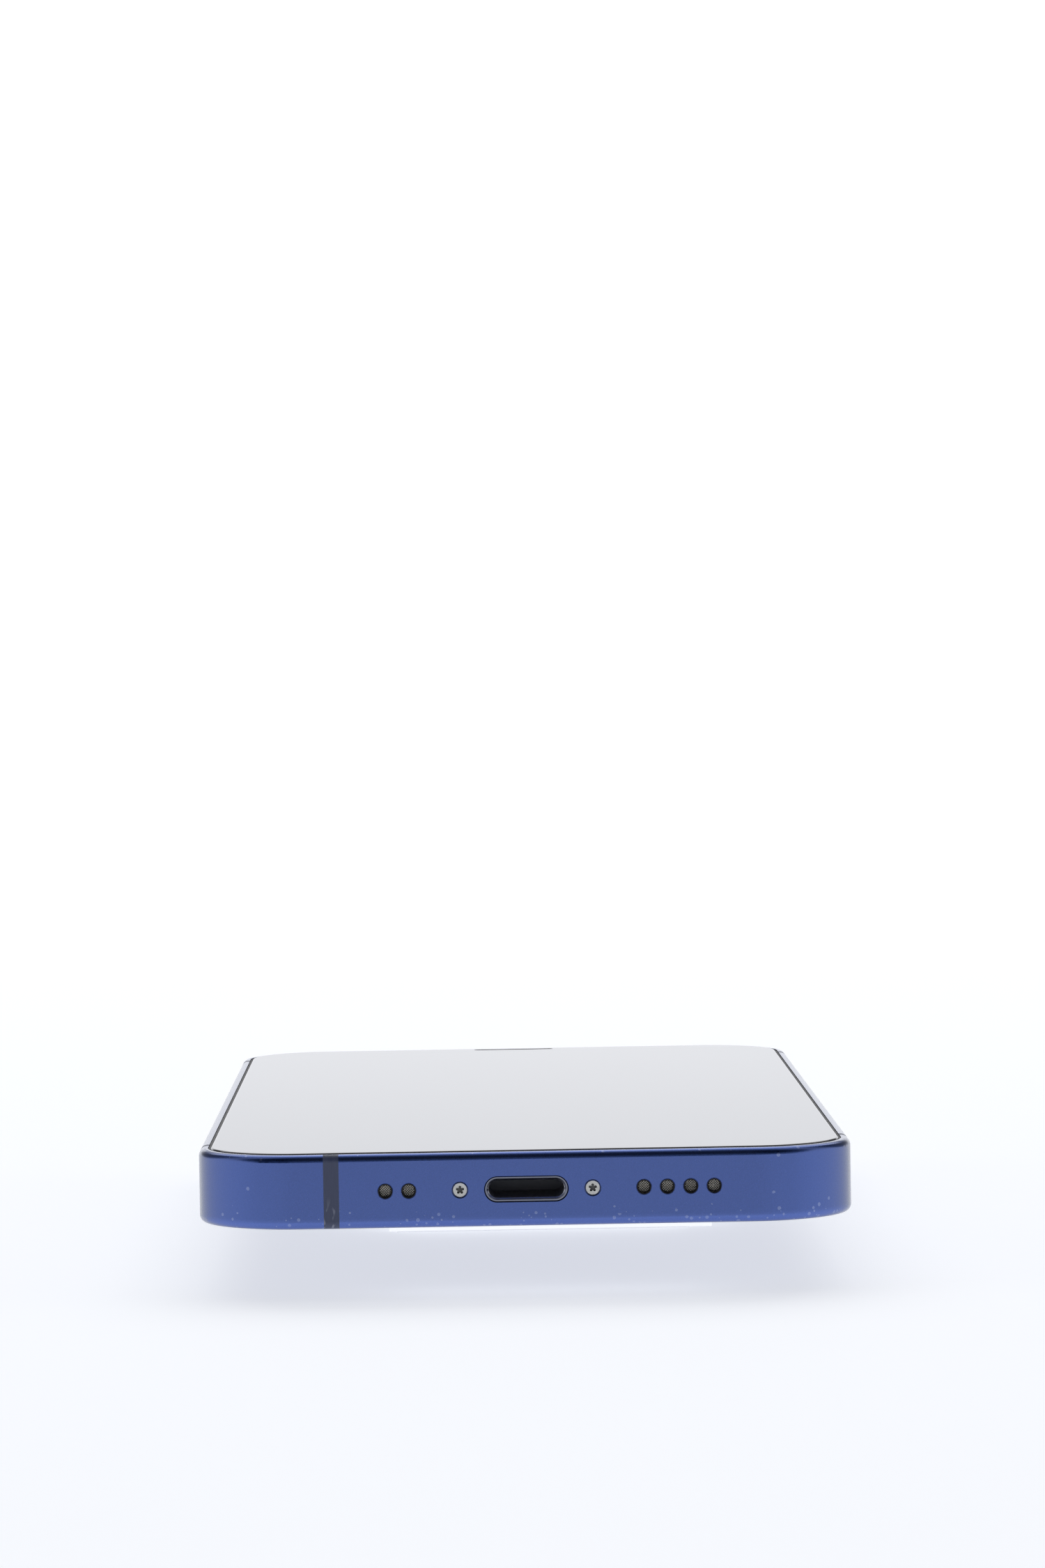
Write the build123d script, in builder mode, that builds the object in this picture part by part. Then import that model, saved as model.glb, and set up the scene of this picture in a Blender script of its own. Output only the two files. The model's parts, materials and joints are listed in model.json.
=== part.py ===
"""A compact smartphone with a flat-sided aluminium edge band, built from its separate pieces.

Millimetres. X runs across the phone, +Y towards its top edge (the charging port faces -Y) and
+Z out of the screen. The origin is below the phone's centre, level with the rear lens rings.
"""

from build123d import *
import os

# ---------------------------------------------------------------- driving dimensions
WIDTH = 64.2
LENGTH = 131.5
THICKNESS = 7.4
CORNER_R = 10.0
CAMERA_PROUD = 1.5

WALL = 2.3  # edge band, outer face to cavity
RIM = 0.9  # edge band, outer face to the recess that holds each glass
GLASS_GAP = 0.25  # recess wall to glass edge, filled by the sealing gasket
EDGE_R = 0.7  # rounding of the band's long outer edges
GLASS_PROUD = 0.1
SEAL = 0.1  # glue line under each glass
FRONT_GLASS_T = 0.7
BACK_GLASS_T = 0.8

BREAK_W = 1.5  # antenna breaks
BREAK_X = 18.9
BREAK_Y = 53.0

BUTTON_PROUD = 0.4
BUTTON_TRAVEL = 0.25
BUTTON_HEIGHT = 2.5
VOLUME_LENGTH = 9.8
VOLUME_UP_Y = 31.5
VOLUME_DOWN_Y = 19.5
SIDE_BUTTON_LENGTH = 17.8
SIDE_BUTTON_Y = 25.5
RUNNING = 0.06  # clearance round sliding pieces

SWITCH_Y = 43.5
SWITCH_LENGTH = 5.2
SWITCH_TAB = 1.2
SWITCH_TRAVEL = 1.0

TRAY_Y = -9.5
TRAY_LENGTH = 15.0
TRAY_HEIGHT = 2.4
EJECT_Y = -3.9
EJECT_R = 0.5
CARD = (12.3, 8.8, 0.67)

HOLE_R = 0.71  # microphone and loudspeaker holes
HOLE_PITCH = 2.27
FIRST_HOLE_X = 11.4
SKIN = 0.65  # band thickness left in front of the sound meshes
SCREW_X = 6.43
SCREW_HEAD_R = 0.75

PORT_WIDTH = 8.1
PORT_HEIGHT = 2.45
PORT_WALL = 0.38
PORT_DEPTH = 8.5
CONTACT_COUNT = 8
CONTACT_PITCH = 0.72

PLATEAU = (27.4, 28.4)  # rear camera plateau
PLATEAU_X = 15.6
PLATEAU_Y = 48.9
PLATEAU_PROUD = 0.8
LENS_X = 21.8
WIDE_Y = 55.6
ULTRAWIDE_Y = 42.3
LENS_RING_R = 5.9
FLASH = (8.2, 49.0)
REAR_MIC = (8.2, 41.0)

NOTCH_HALF = 17.3
NOTCH_Y = 57.4
SENSOR_Y = 60.2
EARPIECE = (9.4, 0.9)
EARPIECE_Y = 62.9

MAGNET_OUT_R = 27.0
MAGNET_IN_R = 23.0
MAGNET_COUNT = 18
COIL_OUT_R = 21.0
COIL_IN_R = 10.0

# ---------------------------------------------------------------- levels worked out from them
HALF_W = WIDTH / 2
HALF_L = LENGTH / 2
Z_BACK = CAMERA_PROUD
Z_FRONT = Z_BACK + THICKNESS
Z_MID = Z_BACK + THICKNESS / 2
BAND_LOW = Z_BACK + GLASS_PROUD
BAND_HIGH = Z_FRONT - GLASS_PROUD
BAND_HEIGHT = BAND_HIGH - BAND_LOW
FRONT_INNER = Z_FRONT - FRONT_GLASS_T
BACK_INNER = Z_BACK + BACK_GLASS_T
FRONT_LEDGE = FRONT_INNER - SEAL
BACK_LEDGE = BACK_INNER + SEAL
GLASS_INSET = RIM + GLASS_GAP
INNER_X = HALF_W - WALL
INNER_Y = HALF_L - WALL

PANEL_T = 0.7
SHIELD_T = 0.25
PANEL_LOW = FRONT_INNER - PANEL_T
SHIELD_LOW = PANEL_LOW - SHIELD_T
FLOOR_LOW = 3.0  # midplate web
FLOOR = 3.4  # top of the midplate, where the inner pieces stand
GLUE_T = 0.1
INNER_TOP = SHIELD_LOW - 0.35  # top of the tall inner pieces, clear of the display
FIT = 0.02  # gap between pieces that are pressed or bonded together

BOARD_LOW = FLOOR + GLUE_T
LOWER_BOARD_T = 0.7
UPPER_BOARD_T = 0.6
BOARD_GAP = 0.8
LOWER_BOARD_TOP = BOARD_LOW + LOWER_BOARD_T
UPPER_BOARD_LOW = LOWER_BOARD_TOP + BOARD_GAP
UPPER_BOARD_TOP = UPPER_BOARD_LOW + UPPER_BOARD_T
BOARD_X = (-27.3, -6.3)
BOARD_Y = (-28.0, 56.0)
UPPER_BOARD_Y = 4.0
BOARD_SCREWS = [(x, y) for x in (-26.0, -7.6) for y in (2.2, -26.6)]
SCREW_R = 0.4

PARTS = "parts"
os.makedirs(PARTS, exist_ok=True)


def keep(piece, name):
    """Label a finished piece and write it to its own file."""
    piece.part.label = name
    export_step(piece.part, f"{PARTS}/{name}.step")


def outline(inset):
    """Sketch the phone's rounded outline, moved in from the band's outer face."""
    RectangleRounded(WIDTH - 2 * inset, LENGTH - 2 * inset, CORNER_R - inset)


def middle(span):
    """The middle of a (low, high) pair."""
    return (span[0] + span[1]) / 2


def inner(span, wall):
    """A (low, high) pair moved in by a wall at both ends."""
    return (span[0] + wall, span[1] - wall)


def slab(low, high, x_range, y_range, corner=0.0, mode=Mode.ADD):
    """Add or cut an upright block, with rounded upright corners if asked."""
    size_x = x_range[1] - x_range[0]
    size_y = y_range[1] - y_range[0]
    with BuildSketch(Plane.XY.offset(low)) as profile:
        with Locations((middle(x_range), middle(y_range))):
            if corner:
                RectangleRounded(size_x, size_y, corner)
            else:
                Rectangle(size_x, size_y)
    extrude(profile.sketch, amount=high - low, mode=mode)


# ---------------------------------------------------------------- edge band
with BuildPart() as band:
    with BuildSketch(Plane.XY.offset(BAND_LOW)):
        outline(0)
    extrude(amount=BAND_HEIGHT)
    fillet(band.edges().group_by(Axis.Z)[0] + band.edges().group_by(Axis.Z)[-1], EDGE_R)
    with BuildSketch(Plane.XY.offset(BAND_LOW)):
        outline(WALL)
    extrude(amount=BAND_HEIGHT, mode=Mode.SUBTRACT)
    with BuildSketch(Plane.XY.offset(BAND_LOW)):
        outline(RIM)
    extrude(amount=BACK_LEDGE - BAND_LOW, mode=Mode.SUBTRACT)
    with BuildSketch(Plane.XY.offset(FRONT_LEDGE)):
        outline(RIM)
    extrude(amount=BAND_HIGH - FRONT_LEDGE, mode=Mode.SUBTRACT)

BREAK_REACH = WALL + 1.0
END_BREAKS = [(-BREAK_X, -HALF_L), (BREAK_X, HALF_L)]
SIDE_BREAKS = [(x, y) for x in (-HALF_W, HALF_W) for y in (-BREAK_Y, BREAK_Y)]


def break_slabs():
    """Sketch the slots that the antenna breaks fill."""
    with Locations(*END_BREAKS):
        Rectangle(BREAK_W, 2 * BREAK_REACH)
    with Locations(*SIDE_BREAKS):
        Rectangle(2 * BREAK_REACH, BREAK_W)


with BuildPart() as split_band:
    add(band.part)
    with BuildSketch(Plane.XY.offset(BAND_LOW)):
        break_slabs()
    extrude(amount=BAND_HEIGHT, mode=Mode.SUBTRACT)

with BuildPart() as antenna_breaks:
    add(band.part)
    with BuildSketch(Plane.XY.offset(BAND_LOW)):
        break_slabs()
    extrude(amount=BAND_HEIGHT, mode=Mode.INTERSECT)
keep(antenna_breaks, "antenna_breaks")


def segment_at(x, y):
    """The band segment that passes nearest a point of the plan."""
    probe = Vertex(x, y, Z_MID)
    return min(split_band.part.solids(), key=lambda solid: solid.distance_to(probe))


LEFT_FACE = Plane.YZ.offset(-HALF_W)  # in its sketches x is the phone's Y, and y is Z
RIGHT_FACE = Plane.YZ.offset(HALF_W)
FRONT_PLANE = Plane.XZ.offset(HALF_L)  # the port face: x is the phone's X, y is Z, normal -Y

MIC_HOLES = [(-FIRST_HOLE_X - i * HOLE_PITCH, Z_MID) for i in range(2)]
SPEAKER_HOLES = [(FIRST_HOLE_X + i * HOLE_PITCH, Z_MID) for i in range(4)]
POCKET_H = 1.9
POCKET_MORE = POCKET_H + 0.4
MIC_X = -FIRST_HOLE_X - HOLE_PITCH / 2
MIC_POCKET_W = HOLE_PITCH + POCKET_MORE
SPEAKER_MID_X = FIRST_HOLE_X + 1.5 * HOLE_PITCH
SPEAKER_POCKET_W = 3 * HOLE_PITCH + POCKET_MORE
SCREW_HEAD_SINK = 0.13
SCREW_SEAT = 0.65
SCREW_RECESS_R = SCREW_HEAD_R + 0.075
SHANK_R = 0.45
PORT_RUN = 0.05
HOLE_BEVEL = 0.07
INWARD = 1.0  # how far past the band's wall its openings are cut

with BuildPart() as frame_bottom:
    add(segment_at(0, -HALF_L))
    with BuildSketch(FRONT_PLANE):
        with Locations((0, Z_MID)):
            SlotOverall(PORT_WIDTH + 2 * PORT_RUN, PORT_HEIGHT + 2 * PORT_RUN)
        with Locations(*MIC_HOLES, *SPEAKER_HOLES):
            Circle(HOLE_R)
        with Locations((-SCREW_X, Z_MID), (SCREW_X, Z_MID)):
            Circle(SHANK_R + FIT)
    extrude(amount=-WALL, mode=Mode.SUBTRACT)
    with BuildSketch(FRONT_PLANE):
        with Locations((-SCREW_X, Z_MID), (SCREW_X, Z_MID)):
            Circle(SCREW_RECESS_R)
    extrude(amount=-SCREW_SEAT, mode=Mode.SUBTRACT)
    with BuildSketch(FRONT_PLANE.offset(-SKIN)):
        with Locations((MIC_X, Z_MID)):
            SlotOverall(MIC_POCKET_W, POCKET_H)
        with Locations((SPEAKER_MID_X, Z_MID)):
            SlotOverall(SPEAKER_POCKET_W, POCKET_H)
    extrude(amount=-WALL, mode=Mode.SUBTRACT)
    mouths = frame_bottom.edges().filter_by(GeomType.CIRCLE)
    mouths = mouths.filter_by_position(Axis.Y, -HALF_L - 0.01, -HALF_L + 0.01)
    chamfer([edge for edge in mouths if abs(edge.radius - HOLE_R) < 0.01], HOLE_BEVEL)
keep(frame_bottom, "frame_bottom")

CORNER_IN = 0.3 * CORNER_R  # how far a rounded corner's middle lies from the sharp one

with BuildPart() as frame_bottom_left_corner:
    add(segment_at(-HALF_W + CORNER_IN, -HALF_L + CORNER_IN))
keep(frame_bottom_left_corner, "frame_bottom_left_corner")

SWITCH_SLOT_H = SWITCH_TAB + SWITCH_TRAVEL + 2 * RUNNING
BUTTON_SLOT_H = BUTTON_HEIGHT + 2 * RUNNING

with BuildPart() as frame_left:
    add(segment_at(-HALF_W, 0))
    with BuildSketch(LEFT_FACE):
        with Locations((VOLUME_UP_Y, Z_MID), (VOLUME_DOWN_Y, Z_MID)):
            SlotOverall(VOLUME_LENGTH + 2 * RUNNING, BUTTON_SLOT_H)
        with Locations((SWITCH_Y, Z_MID)):
            RectangleRounded(SWITCH_LENGTH + 2 * RUNNING, SWITCH_SLOT_H, SWITCH_TAB / 2 + RUNNING)
        with Locations((TRAY_Y, Z_MID)):
            SlotOverall(TRAY_LENGTH + 2 * RUNNING, TRAY_HEIGHT + 2 * RUNNING)
    extrude(amount=WALL + INWARD, mode=Mode.SUBTRACT)
keep(frame_left, "frame_left")

with BuildPart() as frame_right:
    add(segment_at(HALF_W, 0))
    with BuildSketch(RIGHT_FACE):
        with Locations((SIDE_BUTTON_Y, Z_MID)):
            SlotOverall(SIDE_BUTTON_LENGTH + 2 * RUNNING, BUTTON_SLOT_H)
    extrude(amount=-WALL - INWARD, mode=Mode.SUBTRACT)
keep(frame_right, "frame_right")

with BuildPart() as frame_top:
    add(segment_at(0, HALF_L))
keep(frame_top, "frame_top")

with BuildPart() as frame_top_right_corner:
    add(segment_at(HALF_W - CORNER_IN, HALF_L - CORNER_IN))
keep(frame_top_right_corner, "frame_top_right_corner")

# ---------------------------------------------------------------- glass, gaskets and chassis
GLASS_ROUND = 0.25

with BuildPart() as front_glass:
    with BuildSketch(Plane.XY.offset(FRONT_INNER)):
        outline(GLASS_INSET)
    extrude(amount=FRONT_GLASS_T)
    fillet(front_glass.edges().group_by(Axis.Z)[-1], GLASS_ROUND)
    with BuildSketch(Plane.XY.offset(FRONT_INNER)):
        with Locations((0, EARPIECE_Y)):
            SlotOverall(*EARPIECE)
    extrude(amount=FRONT_GLASS_T, mode=Mode.SUBTRACT)
keep(front_glass, "front_glass")

PLATEAU_LOW = Z_BACK - PLATEAU_PROUD
PLATEAU_CORNER = 7.0
PLATEAU_ROUND = 0.35
RING_BARREL_R = 5.35
DIFFUSER_R = 2.9
REAR_MIC_R = 0.45
BACK_FIT = 0.03
LENS_SPOTS = [(LENS_X, WIDE_Y), (LENS_X, ULTRAWIDE_Y)]

with BuildPart() as back_glass:
    with BuildSketch(Plane.XY.offset(Z_BACK)):
        outline(GLASS_INSET)
    extrude(amount=BACK_GLASS_T)
    fillet(back_glass.edges().group_by(Axis.Z)[0], GLASS_ROUND)
    with BuildSketch(Plane.XY.offset(PLATEAU_LOW)):
        with Locations((PLATEAU_X, PLATEAU_Y)):
            RectangleRounded(*PLATEAU, PLATEAU_CORNER)
    extrude(amount=PLATEAU_PROUD + BACK_GLASS_T / 2)
    fillet(back_glass.edges().group_by(Axis.Z)[0], PLATEAU_ROUND)
    with BuildSketch(Plane.XY.offset(PLATEAU_LOW)):
        with Locations(*LENS_SPOTS):
            Circle(RING_BARREL_R + BACK_FIT)
        with Locations(FLASH):
            Circle(DIFFUSER_R + BACK_FIT)
        with Locations(REAR_MIC):
            Circle(REAR_MIC_R)
    extrude(amount=PLATEAU_PROUD + BACK_GLASS_T, mode=Mode.SUBTRACT)
keep(back_glass, "back_glass")

GASKET_SUNK = 0.1  # below the band's rim
GASKET_INSET = WALL - 0.1

with BuildPart() as glass_gaskets:
    for ledge, lip in ((FRONT_LEDGE, BAND_HIGH - GASKET_SUNK), (BACK_LEDGE, BAND_LOW + GASKET_SUNK)):
        seat = ledge + (SEAL if lip > ledge else -SEAL)
        with BuildSketch(Plane.XY.offset(ledge)):
            outline(RIM + FIT)
            with BuildSketch(mode=Mode.SUBTRACT):
                outline(GASKET_INSET)
        extrude(amount=seat - ledge)
        with BuildSketch(Plane.XY.offset(ledge)):
            outline(RIM + FIT)
            with BuildSketch(mode=Mode.SUBTRACT):
                outline(GLASS_INSET)
        extrude(amount=lip - ledge)
keep(glass_gaskets, "glass_gaskets")

MAGNET_ROOM = 0.2
BAR_X = (-2.6, 2.6)  # the alignment magnet below the ring
BAR_Y = (-46.0, -33.0)
CAMERA_WINDOW_X = (4.5, 28.2)
CAMERA_WINDOW_Y = (36.5, 61.5)
CAMERA_WINDOW_CORNER = 3.0

with BuildPart() as midplate:
    with BuildSketch(Plane.XY.offset(BACK_LEDGE)):
        outline(WALL + FIT)
    extrude(amount=FLOOR - BACK_LEDGE)
    with BuildSketch(Plane.XY.offset(BACK_LEDGE)):
        Circle(MAGNET_OUT_R + MAGNET_ROOM)
    extrude(amount=FLOOR_LOW - BACK_LEDGE, mode=Mode.SUBTRACT)
    slab(
        BACK_LEDGE,
        FLOOR_LOW,
        (BAR_X[0] - MAGNET_ROOM, BAR_X[1] + MAGNET_ROOM),
        (BAR_Y[0] - MAGNET_ROOM, BAR_Y[1] + MAGNET_ROOM),
        mode=Mode.SUBTRACT,
    )
    slab(BACK_LEDGE, FLOOR, CAMERA_WINDOW_X, CAMERA_WINDOW_Y, CAMERA_WINDOW_CORNER, Mode.SUBTRACT)
    with BuildSketch(Plane.XY.offset(BACK_LEDGE)):
        with Locations(*BOARD_SCREWS):
            Circle(SCREW_R)
    extrude(amount=FLOOR - BACK_LEDGE, mode=Mode.SUBTRACT)
keep(midplate, "midplate")

# ---------------------------------------------------------------- magnet ring and charging coil
MAGNET_T = 0.5
MAGNET_JOINT = 0.3  # gap between neighbouring magnets

with BuildPart() as magnet_ring:
    with BuildSketch(Plane.XY.offset(BACK_LEDGE)):
        Circle(MAGNET_OUT_R)
        Circle(MAGNET_IN_R, mode=Mode.SUBTRACT)
        with PolarLocations((MAGNET_OUT_R + MAGNET_IN_R) / 2, MAGNET_COUNT):
            Rectangle(1.5 * (MAGNET_OUT_R - MAGNET_IN_R), MAGNET_JOINT, mode=Mode.SUBTRACT)
    extrude(amount=MAGNET_T)
    slab(BACK_LEDGE, BACK_LEDGE + MAGNET_T, BAR_X, BAR_Y)
keep(magnet_ring, "magnet_ring")

COIL_T = 0.35
COIL_SHIELD_T = 0.2
GROOVES = 6
GROOVE_STEP = (COIL_OUT_R - COIL_IN_R) / (GROOVES + 1)
GROOVE_W = 0.2
GROOVE_DEEP = 0.15

with BuildPart() as charging_coil:
    with BuildSketch(Plane.XY.offset(BACK_LEDGE)):
        Circle(COIL_OUT_R)
        Circle(COIL_IN_R, mode=Mode.SUBTRACT)
    extrude(amount=COIL_T)
    for i in range(1, GROOVES + 1):
        groove_r = COIL_IN_R + i * GROOVE_STEP
        with BuildSketch(Plane.XY.offset(BACK_LEDGE)):
            Circle(groove_r + GROOVE_W / 2)
            Circle(groove_r - GROOVE_W / 2, mode=Mode.SUBTRACT)
        extrude(amount=GROOVE_DEEP, mode=Mode.SUBTRACT)
keep(charging_coil, "charging_coil")

with BuildPart() as coil_shield:
    with BuildSketch(Plane.XY.offset(BACK_LEDGE + COIL_T)):
        Circle(COIL_OUT_R + 1.0)
    extrude(amount=COIL_SHIELD_T)
keep(coil_shield, "coil_shield")

# ---------------------------------------------------------------- rear cameras
COVER_R = 4.9
COVER_LOW = 0.15
COVER_HIGH = 0.8
RING_ROUND = 0.3
RING_BORE_R = 4.4
RING_TOP = BACK_INNER + 0.3

with BuildPart() as lens_rings:
    with BuildSketch(Plane.XY):
        with Locations(*LENS_SPOTS):
            Circle(LENS_RING_R)
    extrude(amount=PLATEAU_LOW)
    fillet(lens_rings.edges().group_by(Axis.Z)[0], RING_ROUND)
    with BuildSketch(Plane.XY.offset(PLATEAU_LOW)):
        with Locations(*LENS_SPOTS):
            Circle(RING_BARREL_R)
    extrude(amount=RING_TOP - PLATEAU_LOW)
    with BuildSketch(Plane.XY):
        with Locations(*LENS_SPOTS):
            Circle(COVER_R + FIT)
    extrude(amount=COVER_HIGH, mode=Mode.SUBTRACT)
    with BuildSketch(Plane.XY.offset(COVER_HIGH)):
        with Locations(*LENS_SPOTS):
            Circle(RING_BORE_R)
    extrude(amount=RING_TOP - COVER_HIGH, mode=Mode.SUBTRACT)
keep(lens_rings, "lens_rings")

with BuildPart() as lens_covers:
    with BuildSketch(Plane.XY.offset(COVER_LOW)):
        with Locations(*LENS_SPOTS):
            Circle(COVER_R)
    extrude(amount=COVER_HIGH - COVER_LOW)
keep(lens_covers, "lens_covers")

HOUSING_LOW = RING_TOP + 0.1
HOUSING_HIGH = INNER_TOP + 0.1
HOUSING_CORNER = 0.8
LENS_LOW = 1.3  # front of both lens barrels, inside the rings
HOOD_STEP = 0.45
HOOD_DEEP = 0.35
PUPIL_DEEP = 0.9


def camera_housing(spot, half, bore_r, bore_top):
    """A camera's square case, open towards its lens."""
    x_range, y_range = (spot[0] - half, spot[0] + half), (spot[1] - half, spot[1] + half)
    slab(HOUSING_LOW, HOUSING_HIGH, x_range, y_range, HOUSING_CORNER)
    with BuildSketch(Plane.XY.offset(HOUSING_LOW)) as profile:
        with Locations(spot):
            Circle(bore_r)
    extrude(profile.sketch, amount=bore_top - HOUSING_LOW, mode=Mode.SUBTRACT)


def lens_barrel(spot, radius, top, pupil_r):
    """A lens barrel that narrows towards its pupil in two steps."""
    with BuildSketch(Plane.XY.offset(LENS_LOW)) as profile:
        with Locations(spot):
            Circle(radius)
    extrude(profile.sketch, amount=top - LENS_LOW)
    for mouth_r, depth in ((radius - HOOD_STEP, HOOD_DEEP), (pupil_r, PUPIL_DEEP)):
        with BuildSketch(Plane.XY.offset(LENS_LOW)) as profile:
            with Locations(spot):
                Circle(mouth_r)
        extrude(profile.sketch, amount=depth, mode=Mode.SUBTRACT)


with BuildPart() as wide_camera_housing:
    camera_housing((LENS_X, WIDE_Y), half=5.2, bore_r=3.8, bore_top=6.3)
keep(wide_camera_housing, "wide_camera_housing")

with BuildPart() as wide_camera_lens:
    lens_barrel((LENS_X, WIDE_Y), radius=3.6, top=6.0, pupil_r=2.1)
keep(wide_camera_lens, "wide_camera_lens")

with BuildPart() as ultrawide_camera_housing:
    camera_housing((LENS_X, ULTRAWIDE_Y), half=4.7, bore_r=3.3, bore_top=5.8)
keep(ultrawide_camera_housing, "ultrawide_camera_housing")

with BuildPart() as ultrawide_camera_lens:
    lens_barrel((LENS_X, ULTRAWIDE_Y), radius=3.3, top=5.8, pupil_r=1.6)
keep(ultrawide_camera_lens, "ultrawide_camera_lens")

DIFFUSER_T = 1.2
LED_LOW = PLATEAU_LOW + DIFFUSER_T + 0.1
LED_SIDE = 3.6
LED_T = 0.9

with BuildPart() as flash_led:
    with BuildSketch(Plane.XY.offset(LED_LOW)):
        with Locations(FLASH):
            RectangleRounded(LED_SIDE, LED_SIDE, 0.4)
    extrude(amount=LED_T)
keep(flash_led, "flash_led")

with BuildPart() as flash_diffuser:
    with BuildSketch(Plane.XY.offset(PLATEAU_LOW)):
        with Locations(FLASH):
            Circle(DIFFUSER_R)
    extrude(amount=DIFFUSER_T)
    chamfer(flash_diffuser.edges().group_by(Axis.Z)[0], 0.1)
keep(flash_diffuser, "flash_diffuser")

REAR_MIC_SIZE = (3.0, 2.4, 1.0)

with BuildPart() as rear_microphone:
    with BuildSketch(Plane.XY.offset(BACK_INNER)):
        with Locations(REAR_MIC):
            RectangleRounded(*REAR_MIC_SIZE[:2], 0.2)
    extrude(amount=REAR_MIC_SIZE[2])
    with BuildSketch(Plane.XY.offset(BACK_INNER)):
        with Locations(REAR_MIC):
            Circle(REAR_MIC_R - 0.15)
    extrude(amount=0.4, mode=Mode.SUBTRACT)
keep(rear_microphone, "rear_microphone")

# ---------------------------------------------------------------- display
PANEL_INSET = 2.9
SHIELD_INSET = 2.7
TAB_Y = (-INNER_Y + 0.05, -INNER_Y + 1.05)  # tabs that the two bottom screws hold
TAB_HALF = 0.9
TAB_LOW = Z_MID - 1.1
NOTCH_BEYOND = 10.0  # past the panel's top edge


def notch(low, height):
    """Cut the sensor notch at the top of a display layer."""
    with BuildSketch(Plane.XY.offset(low)) as profile:
        with Locations((0, NOTCH_Y)):
            Rectangle(2 * NOTCH_HALF, NOTCH_BEYOND, align=(Align.CENTER, Align.MIN))
    extrude(profile.sketch, amount=height, mode=Mode.SUBTRACT)


with BuildPart() as display_panel:
    with BuildSketch(Plane.XY.offset(PANEL_LOW)):
        outline(PANEL_INSET)
    extrude(amount=PANEL_T)
    notch(PANEL_LOW, PANEL_T)
keep(display_panel, "display_panel")

with BuildPart() as display_back_shield:
    with BuildSketch(Plane.XY.offset(SHIELD_LOW)):
        outline(SHIELD_INSET)
    extrude(amount=SHIELD_T)
    notch(SHIELD_LOW, SHIELD_T)
    for side in (-1, 1):
        tab_x = side * SCREW_X
        slab(TAB_LOW, PANEL_LOW, (tab_x - TAB_HALF, tab_x + TAB_HALF), TAB_Y)
    with BuildSketch(Plane.XZ.offset(-TAB_Y[0])):
        with Locations((-SCREW_X, Z_MID), (SCREW_X, Z_MID)):
            Circle(SHANK_R)
    extrude(amount=TAB_Y[0] - TAB_Y[1] - 0.2, mode=Mode.SUBTRACT)
keep(display_back_shield, "display_back_shield")

FLEX_T = 0.12
FLEX_X = (-22.0, -12.0)
FLEX_Y = (-12.0, 1.4)
CONNECTOR_X = (FLEX_X[0] - 0.5, FLEX_X[1] + 0.5)
CONNECTOR_Y = (-0.6, 3.0)
CONNECTOR_TOP = LOWER_BOARD_TOP + 0.8
CONNECTOR_CORNER = 0.3

with BuildPart() as display_flex:
    slab(SHIELD_LOW - FLEX_T, SHIELD_LOW, FLEX_X, FLEX_Y)
    slab(CONNECTOR_TOP, SHIELD_LOW, FLEX_X, (FLEX_Y[1] - FLEX_T, FLEX_Y[1]))
    slab(LOWER_BOARD_TOP, CONNECTOR_TOP, CONNECTOR_X, CONNECTOR_Y, CONNECTOR_CORNER)
keep(display_flex, "display_flex")

# ---------------------------------------------------------------- front sensors and earpiece
BRACKET_TOP = FLOOR + 0.3
SENSOR_TOP = FRONT_INNER - 0.1
INFRARED_X = -13.0
FRONT_CAMERA_X = 9.0
PROJECTOR_X = 13.6
BRACKET_X = (-16.0, 16.0)
BRACKET_Y = (57.5, 62.9)
BRACKET_CORNER = 0.8
WINDOW_SUNK = 0.4

with BuildPart() as sensor_bracket:
    slab(FLOOR, BRACKET_TOP, BRACKET_X, BRACKET_Y, BRACKET_CORNER)
keep(sensor_bracket, "sensor_bracket")


def sensor(x, half, body_top, barrel_r, window_r):
    """A square sensor body with a round snout up to the glass, and a sunk window."""
    slab(BRACKET_TOP, body_top, (x - half, x + half), (SENSOR_Y - half, SENSOR_Y + half), 0.4)
    with BuildSketch(Plane.XY.offset(body_top)) as profile:
        with Locations((x, SENSOR_Y)):
            Circle(barrel_r)
    extrude(profile.sketch, amount=SENSOR_TOP - body_top)
    with BuildSketch(Plane.XY.offset(SENSOR_TOP - WINDOW_SUNK)) as profile:
        with Locations((x, SENSOR_Y)):
            Circle(window_r)
    extrude(profile.sketch, amount=WINDOW_SUNK, mode=Mode.SUBTRACT)


with BuildPart() as infrared_camera:
    sensor(INFRARED_X, half=2.4, body_top=INNER_TOP, barrel_r=1.8, window_r=1.3)
keep(infrared_camera, "infrared_camera")

with BuildPart() as front_camera:
    sensor(FRONT_CAMERA_X, half=2.2, body_top=INNER_TOP, barrel_r=1.7, window_r=1.2)
keep(front_camera, "front_camera")

with BuildPart() as dot_projector:
    sensor(PROJECTOR_X, half=1.9, body_top=INNER_TOP - 0.3, barrel_r=1.4, window_r=1.0)
keep(dot_projector, "dot_projector")

EAR_BODY_X = (-6.0, 6.0)
EAR_BODY_Y = (57.8, 62.6)
SPOUT_X = (-4.6, 4.6)
SPOUT_Y = (61.6, 63.2)
SPOUT_LOW = 6.0
SPOUT_SLOT = (8.4, 0.8)
SPOUT_SLOT_Y = 62.5
SPOUT_SLOT_DEEP = 1.0

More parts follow.
